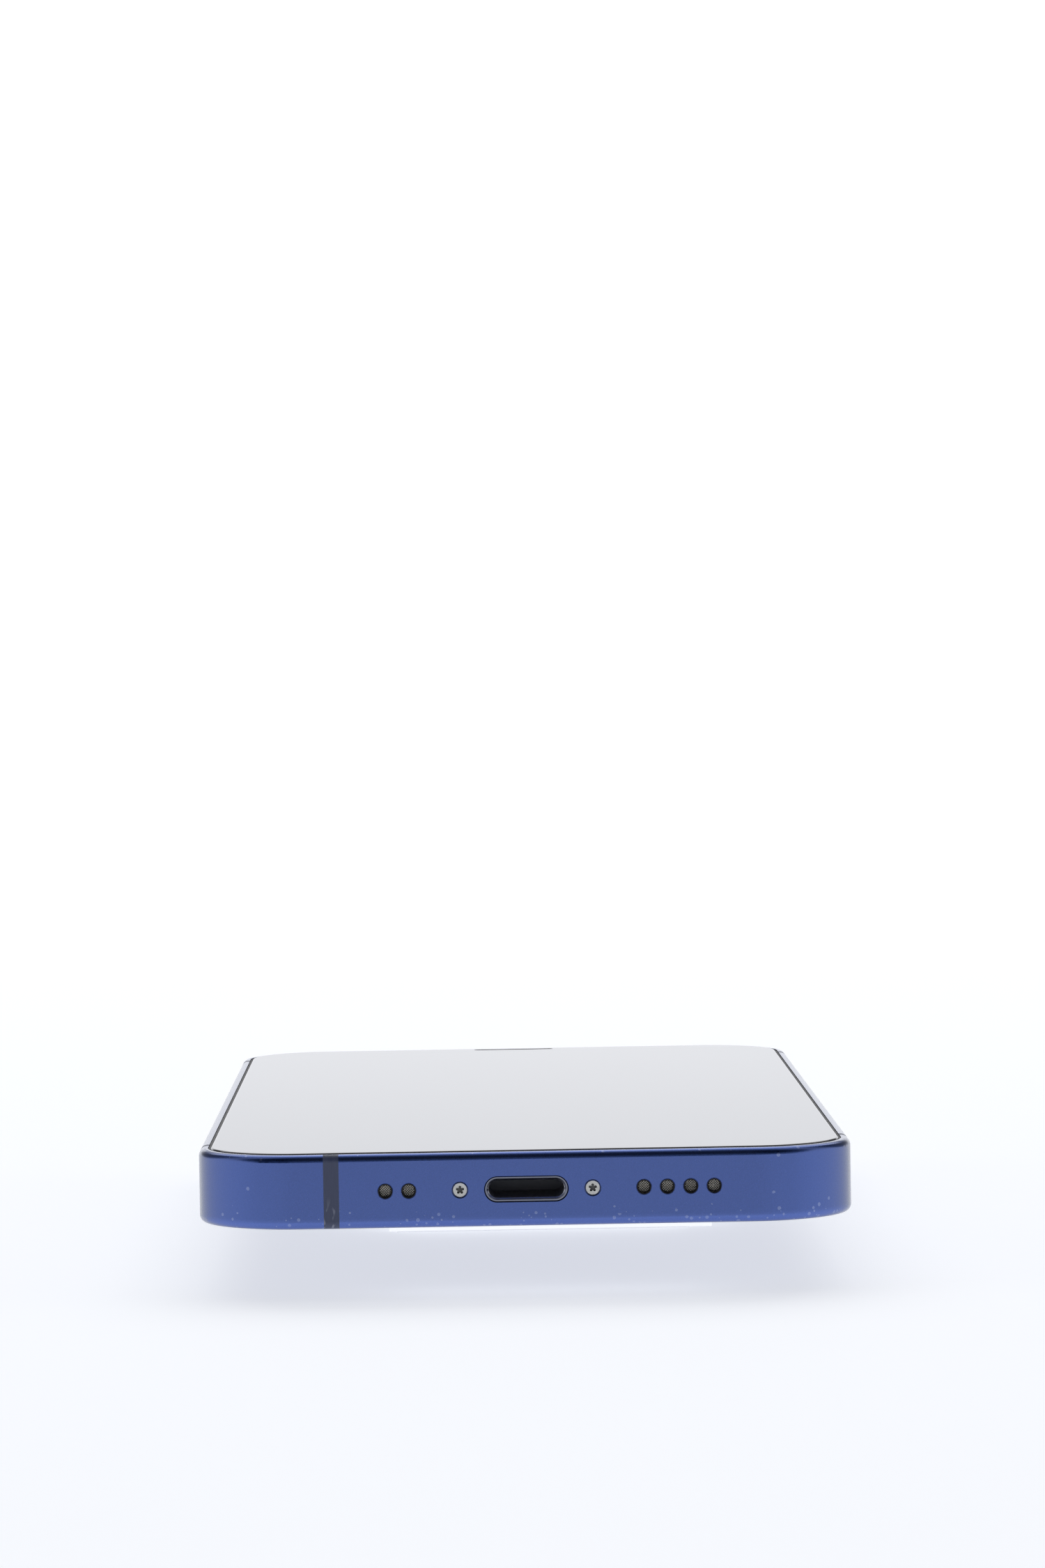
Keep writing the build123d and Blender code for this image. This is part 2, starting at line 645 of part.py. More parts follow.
with BuildPart() as earpiece_speaker:
    slab(BRACKET_TOP, INNER_TOP, EAR_BODY_X, EAR_BODY_Y, BRACKET_CORNER)
    slab(SPOUT_LOW, SENSOR_TOP, SPOUT_X, SPOUT_Y, 0.5)
    with BuildSketch(Plane.XY.offset(SENSOR_TOP - SPOUT_SLOT_DEEP)):
        with Locations((0, SPOUT_SLOT_Y)):
            SlotOverall(*SPOUT_SLOT)
    extrude(amount=SPOUT_SLOT_DEEP, mode=Mode.SUBTRACT)
keep(earpiece_speaker, "earpiece_speaker")

EAR_MESH_LOW = FRONT_INNER + 0.45
EAR_MESH_T = 0.15

with BuildPart() as earpiece_mesh:
    with BuildSketch(Plane.XY.offset(EAR_MESH_LOW)):
        with Locations((0, EARPIECE_Y)):
            SlotOverall(EARPIECE[0] - 2 * FIT, EARPIECE[1] - 2 * FIT)
    extrude(amount=EAR_MESH_T)
keep(earpiece_mesh, "earpiece_mesh")

# ---------------------------------------------------------------- battery
BATTERY_X = (-4.5, 27.3)
BATTERY_Y = (-37.0, 33.0)
BATTERY_CORNER = 1.6
BATTERY_ROUND = 0.5
STRIPS = 3
STRIP_STEP = (BATTERY_X[1] - BATTERY_X[0]) / STRIPS
STRIP_W = 7.0
STRIP_Y = (BATTERY_Y[0] + 3, BATTERY_Y[1] - 3)

with BuildPart() as battery:
    slab(FLOOR + GLUE_T, INNER_TOP, BATTERY_X, BATTERY_Y, BATTERY_CORNER)
    fillet(battery.edges().group_by(Axis.Z)[-1], BATTERY_ROUND)
keep(battery, "battery")

with BuildPart() as battery_adhesive_strips:
    for i in range(STRIPS):
        strip_low = BATTERY_X[0] + (i + 0.5) * STRIP_STEP - STRIP_W / 2
        slab(FLOOR, FLOOR + GLUE_T, (strip_low, strip_low + STRIP_W), STRIP_Y)
keep(battery_adhesive_strips, "battery_adhesive_strips")

# ---------------------------------------------------------------- main board
SCREW_CLEAR_R = 0.5
BOARD_CORNER = 1.0
UPPER_Y = (UPPER_BOARD_Y, BOARD_Y[1])


def board_holes(low, height):
    """Cut the clearance holes for the board screws."""
    with BuildSketch(Plane.XY.offset(low)) as profile:
        with Locations(*BOARD_SCREWS):
            Circle(SCREW_CLEAR_R)
    extrude(profile.sketch, amount=height, mode=Mode.SUBTRACT)


with BuildPart() as main_board_lower:
    slab(BOARD_LOW, LOWER_BOARD_TOP, BOARD_X, BOARD_Y, BOARD_CORNER)
    board_holes(BOARD_LOW, LOWER_BOARD_TOP - BOARD_LOW)
keep(main_board_lower, "main_board_lower")

INTERPOSER_W = 1.3

with BuildPart() as board_interposer:
    slab(LOWER_BOARD_TOP, UPPER_BOARD_LOW, BOARD_X, UPPER_Y, BOARD_CORNER)
    hole_x, hole_y = inner(BOARD_X, INTERPOSER_W), inner(UPPER_Y, INTERPOSER_W)
    slab(LOWER_BOARD_TOP, UPPER_BOARD_LOW, hole_x, hole_y, mode=Mode.SUBTRACT)
keep(board_interposer, "board_interposer")

with BuildPart() as main_board_upper:
    slab(UPPER_BOARD_LOW, UPPER_BOARD_TOP, BOARD_X, UPPER_Y, BOARD_CORNER)
keep(main_board_upper, "main_board_upper")

CAN_HEIGHT = 1.0
CAN_T = 0.15
CAN_WALL = 0.7
CAN_CORNER = 0.6
CAN_X = inner(BOARD_X, 0.8)
CANS = [
    (UPPER_BOARD_TOP, CAN_X, (5.0, 19.0)),
    (UPPER_BOARD_TOP, CAN_X, (20.0, 37.0)),
    (UPPER_BOARD_TOP, CAN_X, (38.0, 55.0)),
    (LOWER_BOARD_TOP, inner(BOARD_X, 2.4), (-27.3, -18.0)),
]

with BuildPart() as board_shields:
    for low, x_range, y_range in CANS:
        slab(low, low + CAN_HEIGHT, x_range, y_range, CAN_CORNER)
        slab(
            low,
            low + CAN_HEIGHT - CAN_T,
            inner(x_range, CAN_WALL),
            inner(y_range, CAN_WALL),
            mode=Mode.SUBTRACT,
        )
keep(board_shields, "board_shields")

INNER_HEAD_R = 0.8
INNER_HEAD_T = 0.45
CROSS = (0.9, 0.22)
CROSS_DEEP = 0.25

with BuildPart() as internal_screws:
    with BuildSketch(Plane.XY.offset(FLOOR_LOW)):
        with Locations(*BOARD_SCREWS):
            Circle(SCREW_R)
    extrude(amount=LOWER_BOARD_TOP - FLOOR_LOW)
    with BuildSketch(Plane.XY.offset(LOWER_BOARD_TOP)):
        with Locations(*BOARD_SCREWS):
            Circle(INNER_HEAD_R)
    extrude(amount=INNER_HEAD_T)
    with BuildSketch(Plane.XY.offset(LOWER_BOARD_TOP + INNER_HEAD_T - CROSS_DEEP)):
        with Locations(*BOARD_SCREWS):
            Rectangle(*CROSS)
            Rectangle(*reversed(CROSS))
    extrude(amount=CROSS_DEEP, mode=Mode.SUBTRACT)
keep(internal_screws, "internal_screws")

# ---------------------------------------------------------------- SIM tray and its ejector
CARRIER_LOW = Z_MID - 0.5
CARRIER_HIGH = CARRIER_LOW + 0.8
CARRIER_Y = (-15.6, -5.4)
CARRIER_END = -15.2
HEAD_END = -INNER_X - 0.15
POCKET_FLOOR = CARRIER_LOW + 0.12
CARD_X = (-28.7, -28.7 + CARD[0])
CARD_Y = (middle(CARRIER_Y) - CARD[1] / 2, middle(CARRIER_Y) + CARD[1] / 2)
CARD_ROOM = 0.05
CARD_LEDGE = 0.8
CARD_CORNER_CUT = 1.6
SEAL_X = (-30.95, -30.55)
SEAL_DEEP = 0.3

with BuildPart() as sim_tray:
    with BuildSketch(LEFT_FACE):
        with Locations((TRAY_Y, Z_MID)):
            SlotOverall(TRAY_LENGTH, TRAY_HEIGHT)
    extrude(amount=HEAD_END + HALF_W)
    slab(CARRIER_LOW, CARRIER_HIGH, (HEAD_END - 0.01, CARRIER_END), CARRIER_Y)
    with BuildSketch(Plane.YZ.offset(SEAL_X[0])):
        with Locations((TRAY_Y, Z_MID)):
            SlotOverall(TRAY_LENGTH + 1, TRAY_HEIGHT + 1)
            SlotOverall(TRAY_LENGTH - 2 * SEAL_DEEP, TRAY_HEIGHT - 2 * SEAL_DEEP, mode=Mode.SUBTRACT)
    extrude(amount=SEAL_X[1] - SEAL_X[0], mode=Mode.SUBTRACT)
    with BuildSketch(LEFT_FACE):
        with Locations((EJECT_Y, Z_MID)):
            Circle(EJECT_R)
    extrude(amount=HEAD_END + HALF_W, mode=Mode.SUBTRACT)
    pocket_x, pocket_y = inner(CARD_X, -CARD_ROOM), inner(CARD_Y, -CARD_ROOM)
    slab(POCKET_FLOOR, CARRIER_HIGH, pocket_x, pocket_y, mode=Mode.SUBTRACT)
    window_x, window_y = inner(CARD_X, CARD_LEDGE), inner(CARD_Y, CARD_LEDGE)
    slab(CARRIER_LOW, CARRIER_HIGH, window_x, window_y, CARD_LEDGE, Mode.SUBTRACT)
keep(sim_tray, "sim_tray")

with BuildPart() as sim_card:
    slab(POCKET_FLOOR, POCKET_FLOOR + CARD[2], CARD_X, CARD_Y)
    chamfer(sim_card.edges().filter_by(Axis.Z).sort_by(Axis.X)[-1], CARD_CORNER_CUT)
keep(sim_card, "sim_card")

with BuildPart() as sim_tray_seal:
    with BuildSketch(Plane.YZ.offset(SEAL_X[0])):
        with Locations((TRAY_Y, Z_MID)):
            SlotOverall(TRAY_LENGTH + FIT, TRAY_HEIGHT + FIT)
            SlotOverall(TRAY_LENGTH - 2 * SEAL_DEEP, TRAY_HEIGHT - 2 * SEAL_DEEP, mode=Mode.SUBTRACT)
    extrude(amount=SEAL_X[1] - SEAL_X[0])
keep(sim_tray_seal, "sim_tray_seal")

READER_X = (-27.2, -11.5)
READER_Y = (-16.5, -2.9)
READER_TOP = LOWER_BOARD_TOP + 0.35
ROOF_LOW = CARRIER_HIGH + 0.25
ROOF_HIGH = ROOF_LOW + 0.2
ROOF_X = (READER_X[0], -15.0)
ROOF_Y = (READER_Y[0], -4.7)
READER_WALL_LEFT = 0.6
READER_WALL_RIGHT = 0.4
GUIDES_X = [(-27.2, -25.6), (-17.0, -15.4)]
ROD_R = 0.42
PIVOT = (-12.8, -9.5)
PIN_R = 0.4
PIN_HEIGHT = 1.3

with BuildPart() as sim_reader:
    slab(LOWER_BOARD_TOP, READER_TOP, READER_X, READER_Y)
    slab(READER_TOP, ROOF_LOW, ROOF_X, (ROOF_Y[0], ROOF_Y[0] + READER_WALL_LEFT))
    slab(READER_TOP, ROOF_LOW, ROOF_X, (ROOF_Y[1] - READER_WALL_RIGHT, ROOF_Y[1]))
    slab(ROOF_LOW, ROOF_HIGH, ROOF_X, ROOF_Y, 0.2)
    for guide_x in GUIDES_X:
        slab(READER_TOP, ROOF_HIGH, guide_x, (ROOF_Y[1], READER_Y[1]))
    with BuildSketch(Plane.YZ.offset(READER_X[0])):
        with Locations((EJECT_Y, Z_MID)):
            Circle(ROD_R + RUNNING)
    extrude(amount=READER_X[1] - READER_X[0], mode=Mode.SUBTRACT)
    with BuildSketch(Plane.XY.offset(READER_TOP - 0.1)):
        with Locations(PIVOT):
            Circle(PIN_R)
    extrude(amount=PIN_HEIGHT)
keep(sim_reader, "sim_reader")

ROD_X = (-29.5, -13.5)
ROD_HEAD_R = 0.7
ROD_HEAD_T = 0.45
ROD_ROUND = 0.25

with BuildPart() as sim_eject_rod:
    with BuildSketch(Plane.YZ.offset(ROD_X[0])):
        with Locations((EJECT_Y, Z_MID)):
            Circle(ROD_HEAD_R)
    extrude(amount=ROD_HEAD_T)
    with BuildSketch(Plane.YZ.offset(ROD_X[0])):
        with Locations((EJECT_Y, Z_MID)):
            Circle(ROD_R)
    extrude(amount=ROD_X[1] - ROD_X[0])
    fillet(sim_eject_rod.edges().group_by(Axis.X)[-1], ROD_ROUND)
keep(sim_eject_rod, "sim_eject_rod")

LEVER_LOW = READER_TOP + 0.12
LEVER_HIGH = READER_TOP + 1.0
LEVER_Y = (-13.6, -3.1)
LEVER_W = 1.0
LEVER_EYE_R = 0.95

with BuildPart() as sim_eject_lever:
    with BuildSketch(Plane.XY.offset(LEVER_LOW)):
        with Locations((PIVOT[0], middle(LEVER_Y))):
            SlotOverall(LEVER_Y[1] - LEVER_Y[0], LEVER_W, rotation=90)
        with Locations(PIVOT):
            Circle(LEVER_EYE_R)
            Circle(PIN_R + RUNNING, mode=Mode.SUBTRACT)
    extrude(amount=LEVER_HIGH - LEVER_LOW)
keep(sim_eject_lever, "sim_eject_lever")

# ---------------------------------------------------------------- haptic motor
MOTOR_X = (-27.6, -8.6)
MOTOR_Y = (-60.4, -51.4)
MOTOR_WALL = 0.3
ROOM_X = inner(MOTOR_X, MOTOR_WALL)
ROOM_Y = inner(MOTOR_Y, MOTOR_WALL)
MASS_GAP_X = 1.8
MASS_GAP = 0.6  # above, below and beside the weight, from the case's outer faces
MASS_X = inner(ROOM_X, MASS_GAP_X)
MASS_Y = inner(MOTOR_Y, MASS_GAP + 0.1)
MASS_CORNER = 0.5

with BuildPart() as haptic_motor_case:
    slab(FLOOR, INNER_TOP, MOTOR_X, MOTOR_Y)
    slab(FLOOR + MOTOR_WALL, INNER_TOP - MOTOR_WALL, ROOM_X, ROOM_Y, mode=Mode.SUBTRACT)
keep(haptic_motor_case, "haptic_motor_case")

with BuildPart() as haptic_motor_mass:
    slab(FLOOR + MASS_GAP, INNER_TOP - MASS_GAP, MASS_X, MASS_Y, MASS_CORNER)
keep(haptic_motor_mass, "haptic_motor_mass")

LEAF_T = 0.15
LEAF_LOW = FLOOR + 0.8
LEAF_HIGH = INNER_TOP - 0.8
LEAF_HALF = 3.4  # half the length of a leaf, along Y
LEAF_FOOT = 1.2  # where it is welded to the case

with BuildPart() as haptic_motor_springs:
    for weight_x, case_x, side in ((MASS_X[0], ROOM_X[0], -1), (MASS_X[1], ROOM_X[1], 1)):
        with BuildSketch(Plane.XY.offset(LEAF_LOW)):
            with BuildLine():
                Polyline(
                    (weight_x, middle(MOTOR_Y) - LEAF_HALF),
                    (case_x, middle(MOTOR_Y) + LEAF_HALF),
                    (case_x, middle(MOTOR_Y) + LEAF_HALF - LEAF_FOOT),
                    (weight_x + side * LEAF_T, middle(MOTOR_Y) - LEAF_HALF),
                    close=True,
                )
            make_face()
        extrude(amount=LEAF_HIGH - LEAF_LOW)
keep(haptic_motor_springs, "haptic_motor_springs")

# ---------------------------------------------------------------- sound
MESH_T = 0.12
NOSE_H = 1.6

with BuildPart() as acoustic_meshes:
    with BuildSketch(FRONT_PLANE.offset(-SKIN)):
        with Locations((MIC_X, Z_MID)):
            SlotOverall(MIC_POCKET_W - 2 * FIT, POCKET_H - 2 * FIT)
        with Locations((SPEAKER_MID_X, Z_MID)):
            SlotOverall(SPEAKER_POCKET_W - 2 * FIT, POCKET_H - 2 * FIT)
    extrude(amount=-MESH_T)
keep(acoustic_meshes, "acoustic_meshes")

NOSE_FACE = -HALF_L + SKIN + MESH_T
NOSE_LESS = 0.3
NOSE_ROOT = 0.5  # how far a nose runs into the body behind it
SPEAKER_X = (7.8, 28.4)
SPEAKER_Y = (-61.0, -40.0)
SPEAKER_CORNER = 6.0

with BuildPart() as loudspeaker:
    slab(FLOOR, INNER_TOP, SPEAKER_X, SPEAKER_Y)
    outer_corner = loudspeaker.edges().filter_by(Axis.Z).sort_by(Axis.X)[-2:].sort_by(Axis.Y)[0]
    fillet(outer_corner, SPEAKER_CORNER)
    with BuildSketch(FRONT_PLANE.offset(-SKIN - MESH_T)):
        with Locations((SPEAKER_MID_X, Z_MID)):
            SlotOverall(SPEAKER_POCKET_W - NOSE_LESS, NOSE_H)
    extrude(amount=NOSE_FACE - SPEAKER_Y[0] - NOSE_ROOT)
keep(loudspeaker, "loudspeaker")

MIC_BODY_X = (MIC_X - 2.4, MIC_X + 2.4)
MIC_BODY_Y = (-63.3, -60.9)
MIC_BODY_TOP = INNER_TOP - 0.5
MIC_BODY_CORNER = 0.3

with BuildPart() as bottom_microphone:
    slab(FLOOR, MIC_BODY_TOP, MIC_BODY_X, MIC_BODY_Y, MIC_BODY_CORNER)
    with BuildSketch(FRONT_PLANE.offset(-SKIN - MESH_T)):
        with Locations((MIC_X, Z_MID)):
            SlotOverall(MIC_POCKET_W - NOSE_LESS, NOSE_H)
    extrude(amount=NOSE_FACE - MIC_BODY_Y[0] - NOSE_ROOT)
keep(bottom_microphone, "bottom_microphone")

# ---------------------------------------------------------------- charging port
PORT_SUNK = 0.15
PORT_MOUTH = -HALF_L + PORT_SUNK
PORT_BACK = PORT_MOUTH + PORT_DEPTH
PORT_FUNNEL = 0.2
PORT_OUTER_BEVEL = 0.06
CAVITY_W = PORT_WIDTH - 2 * PORT_WALL
CAVITY_H = PORT_HEIGHT - 2 * PORT_WALL
CAVITY_DEPTH = 7.0
SOCKET_X = (-5.2, 5.2)
SOCKET_Y = (-63.3, PORT_BACK + 0.8)
SOCKET_CORNER = 0.4

with BuildPart() as port_shell:
    with BuildSketch(FRONT_PLANE.offset(-PORT_SUNK)):
        with Locations((0, Z_MID)):
            SlotOverall(PORT_WIDTH, PORT_HEIGHT)
    extrude(amount=-PORT_DEPTH)
    slab(FLOOR + 0.2, INNER_TOP, SOCKET_X, SOCKET_Y, SOCKET_CORNER)
    with BuildSketch(FRONT_PLANE.offset(-PORT_SUNK)):
        with Locations((0, Z_MID)):
            SlotOverall(CAVITY_W, CAVITY_H)
    extrude(amount=-CAVITY_DEPTH, mode=Mode.SUBTRACT)
    rim = port_shell.faces().sort_by(Axis.Y)[0]
    chamfer(rim.inner_wires()[0].edges(), PORT_FUNNEL)
    rim = port_shell.faces().sort_by(Axis.Y)[0]
    chamfer(rim.outer_wire().edges(), PORT_OUTER_BEVEL)
keep(port_shell, "port_shell")

CONTACT_W = 0.34
CONTACT_T = 0.14
CONTACT_HIGH = Z_MID + CAVITY_H / 2
CONTACT_Y = (PORT_MOUTH + 1.6, PORT_MOUTH + CAVITY_DEPTH)

with BuildPart() as port_contacts:
    for i in range(CONTACT_COUNT):
        contact_low = (i - (CONTACT_COUNT - 1) / 2) * CONTACT_PITCH - CONTACT_W / 2
        slab(CONTACT_HIGH - CONTACT_T, CONTACT_HIGH, (contact_low, contact_low + CONTACT_W), CONTACT_Y)
keep(port_contacts, "port_contacts")

CHARGE_FLEX_TOP = FLOOR + 0.15
CHARGE_PLUG_TOP = FLOOR + 0.9
TAIL_X = (-8.2, -5.2)  # the run beside the battery, up to the main board
TAIL_Y = (-49.9, -28.2)
HEAD_X = (-3.5, 3.5)  # the run under the port
HEAD_Y = (-63.0, -46.9)

with BuildPart() as charging_flex:
    slab(FLOOR, CHARGE_FLEX_TOP, HEAD_X, HEAD_Y)
    slab(FLOOR, CHARGE_FLEX_TOP, (TAIL_X[0], HEAD_X[1]), (TAIL_Y[0], HEAD_Y[1]))
    slab(FLOOR, CHARGE_FLEX_TOP, TAIL_X, TAIL_Y)
    slab(FLOOR, CHARGE_PLUG_TOP, inner(TAIL_X, -0.2), (TAIL_Y[1] - 3.2, TAIL_Y[1]), 0.3)
keep(charging_flex, "charging_flex")

SHANK_LENGTH = 2.7
HEAD_BEVEL = 0.08
STAR_LOBES = 5
STAR_OUT = 0.28
STAR_CORE_R = 0.24
STAR_LOBE_R = 0.13
STAR_DEEP = 0.35

with BuildPart() as bottom_screws:
    with BuildSketch(FRONT_PLANE.offset(-SCREW_HEAD_SINK)):
        with Locations((-SCREW_X, Z_MID), (SCREW_X, Z_MID)):
            Circle(SCREW_HEAD_R)
    extrude(amount=-(SCREW_SEAT - SCREW_HEAD_SINK))
    chamfer(bottom_screws.edges().group_by(Axis.Y)[0], HEAD_BEVEL)
    with BuildSketch(FRONT_PLANE.offset(-SCREW_SEAT)):
        with Locations((-SCREW_X, Z_MID), (SCREW_X, Z_MID)):
            Circle(SHANK_R)
    extrude(amount=-SHANK_LENGTH)
    with BuildSketch(FRONT_PLANE.offset(-SCREW_HEAD_SINK)):
        for side in (-1, 1):
            with Locations((side * SCREW_X, Z_MID)):
                Circle(STAR_CORE_R)
                with PolarLocations(STAR_OUT, STAR_LOBES, start_angle=90):
                    Circle(STAR_LOBE_R)
    extrude(amount=-STAR_DEEP, mode=Mode.SUBTRACT)
keep(bottom_screws, "bottom_screws")

# ---------------------------------------------------------------- buttons and ring switch
FLANGE_GAP = 0.06
FLANGE_T = 0.5
FLANGE_HEIGHT = 3.1
FLANGE_MORE = 1.4
FLANGE_CORNER = 0.6
CAP_ROUND = 0.3
DOME_GAP = BUTTON_TRAVEL + 0.08


def side_button_piece(side, y, length):
    """A button cap through the band, with a flange behind the wall that keeps it in."""
    outer = Plane.YZ.offset(side * (HALF_W + BUTTON_PROUD))
    inner = Plane.YZ.offset(side * (INNER_X - FLANGE_GAP))
    cap_depth = BUTTON_PROUD + WALL + FLANGE_GAP
    with BuildSketch(outer) as profile:
        with Locations((y, Z_MID)):
            SlotOverall(length, BUTTON_HEIGHT)
    extrude(profile.sketch, amount=-side * cap_depth)
    with BuildSketch(inner) as profile:
        with Locations((y, Z_MID)):
            RectangleRounded(length + FLANGE_MORE, FLANGE_HEIGHT, FLANGE_CORNER)
    extrude(profile.sketch, amount=-side * FLANGE_T)


with BuildPart() as volume_up_button:
    side_button_piece(-1, VOLUME_UP_Y, VOLUME_LENGTH)
    fillet(volume_up_button.edges().group_by(Axis.X)[0], CAP_ROUND)
keep(volume_up_button, "volume_up_button")

with BuildPart() as volume_down_button:
    side_button_piece(-1, VOLUME_DOWN_Y, VOLUME_LENGTH)
    fillet(volume_down_button.edges().group_by(Axis.X)[0], CAP_ROUND)
keep(volume_down_button, "volume_down_button")

with BuildPart() as side_button:
    side_button_piece(1, SIDE_BUTTON_Y, SIDE_BUTTON_LENGTH)
    fillet(side_button.edges().group_by(Axis.X)[-1], CAP_ROUND)
keep(side_button, "side_button")

SWITCH_REST = Z_MID + SWITCH_TRAVEL / 2
SWITCH_PROUD = 0.3
SWITCH_FLANGE = (SWITCH_LENGTH + 1.6, 2.5)

with BuildPart() as ring_switch:
    with BuildSketch(LEFT_FACE.offset(-SWITCH_PROUD)):
        with Locations((SWITCH_Y, SWITCH_REST)):
            SlotOverall(SWITCH_LENGTH, SWITCH_TAB)
    extrude(amount=SWITCH_PROUD + WALL + FLANGE_GAP)
    fillet(ring_switch.edges().group_by(Axis.X)[0], 0.15)
    with BuildSketch(Plane.YZ.offset(-INNER_X + FLANGE_GAP)):
        with Locations((SWITCH_Y, SWITCH_REST)):
            RectangleRounded(*SWITCH_FLANGE, 0.4)
    extrude(amount=FLANGE_T)
keep(ring_switch, "ring_switch")

DOME_FACE = INNER_X - FLANGE_GAP - FLANGE_T - DOME_GAP
PLATE_X = (INNER_X - 1.9, INNER_X - 1.55)
DOME_R = 1.2
SIDE_PLATES = [
    (-1, inner((VOLUME_DOWN_Y, VOLUME_UP_Y), -5.9), (VOLUME_UP_Y, VOLUME_DOWN_Y)),
    (-1, (SWITCH_Y - 2.9, SWITCH_Y + 2.9), ()),
    (1, (SIDE_BUTTON_Y - 9.6, SIDE_BUTTON_Y + 9.6), (SIDE_BUTTON_Y,)),
]

with BuildPart() as button_switches:
    for side, y_range, domes in SIDE_PLATES:
        slab(FLOOR, INNER_TOP, sorted(side * x for x in PLATE_X), y_range)
        for y in domes:
            with BuildSketch(Plane.YZ.offset(side * DOME_FACE)):
                with Locations((y, Z_MID)):
                    Circle(DOME_R)
            extrude(amount=-side * (DOME_FACE - PLATE_X[0] - 0.1))
keep(button_switches, "button_switches")
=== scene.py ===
"""Looks for the compact smartphone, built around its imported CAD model. Metres, in the model's frame."""

import json
import math

import bmesh
import bpy
from mathutils import Matrix, Vector

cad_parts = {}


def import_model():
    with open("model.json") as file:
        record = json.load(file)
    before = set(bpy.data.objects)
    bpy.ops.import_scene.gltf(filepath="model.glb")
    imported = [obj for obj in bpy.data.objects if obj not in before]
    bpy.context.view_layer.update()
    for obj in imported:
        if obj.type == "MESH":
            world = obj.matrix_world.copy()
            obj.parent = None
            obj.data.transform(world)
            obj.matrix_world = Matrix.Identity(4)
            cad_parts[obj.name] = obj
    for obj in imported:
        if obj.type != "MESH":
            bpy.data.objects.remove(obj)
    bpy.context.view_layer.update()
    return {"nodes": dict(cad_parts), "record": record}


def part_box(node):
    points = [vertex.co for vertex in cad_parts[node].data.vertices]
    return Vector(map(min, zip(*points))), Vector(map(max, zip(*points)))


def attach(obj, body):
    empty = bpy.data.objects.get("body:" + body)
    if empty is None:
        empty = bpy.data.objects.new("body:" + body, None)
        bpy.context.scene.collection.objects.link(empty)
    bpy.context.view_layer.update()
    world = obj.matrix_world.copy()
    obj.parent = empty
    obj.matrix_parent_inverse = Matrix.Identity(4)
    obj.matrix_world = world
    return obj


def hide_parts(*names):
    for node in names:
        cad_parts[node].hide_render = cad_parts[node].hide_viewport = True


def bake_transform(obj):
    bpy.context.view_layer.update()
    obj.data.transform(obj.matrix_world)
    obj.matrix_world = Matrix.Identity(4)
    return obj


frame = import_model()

MM = 0.001
NODES = frame["nodes"]
PHONE = "phone"


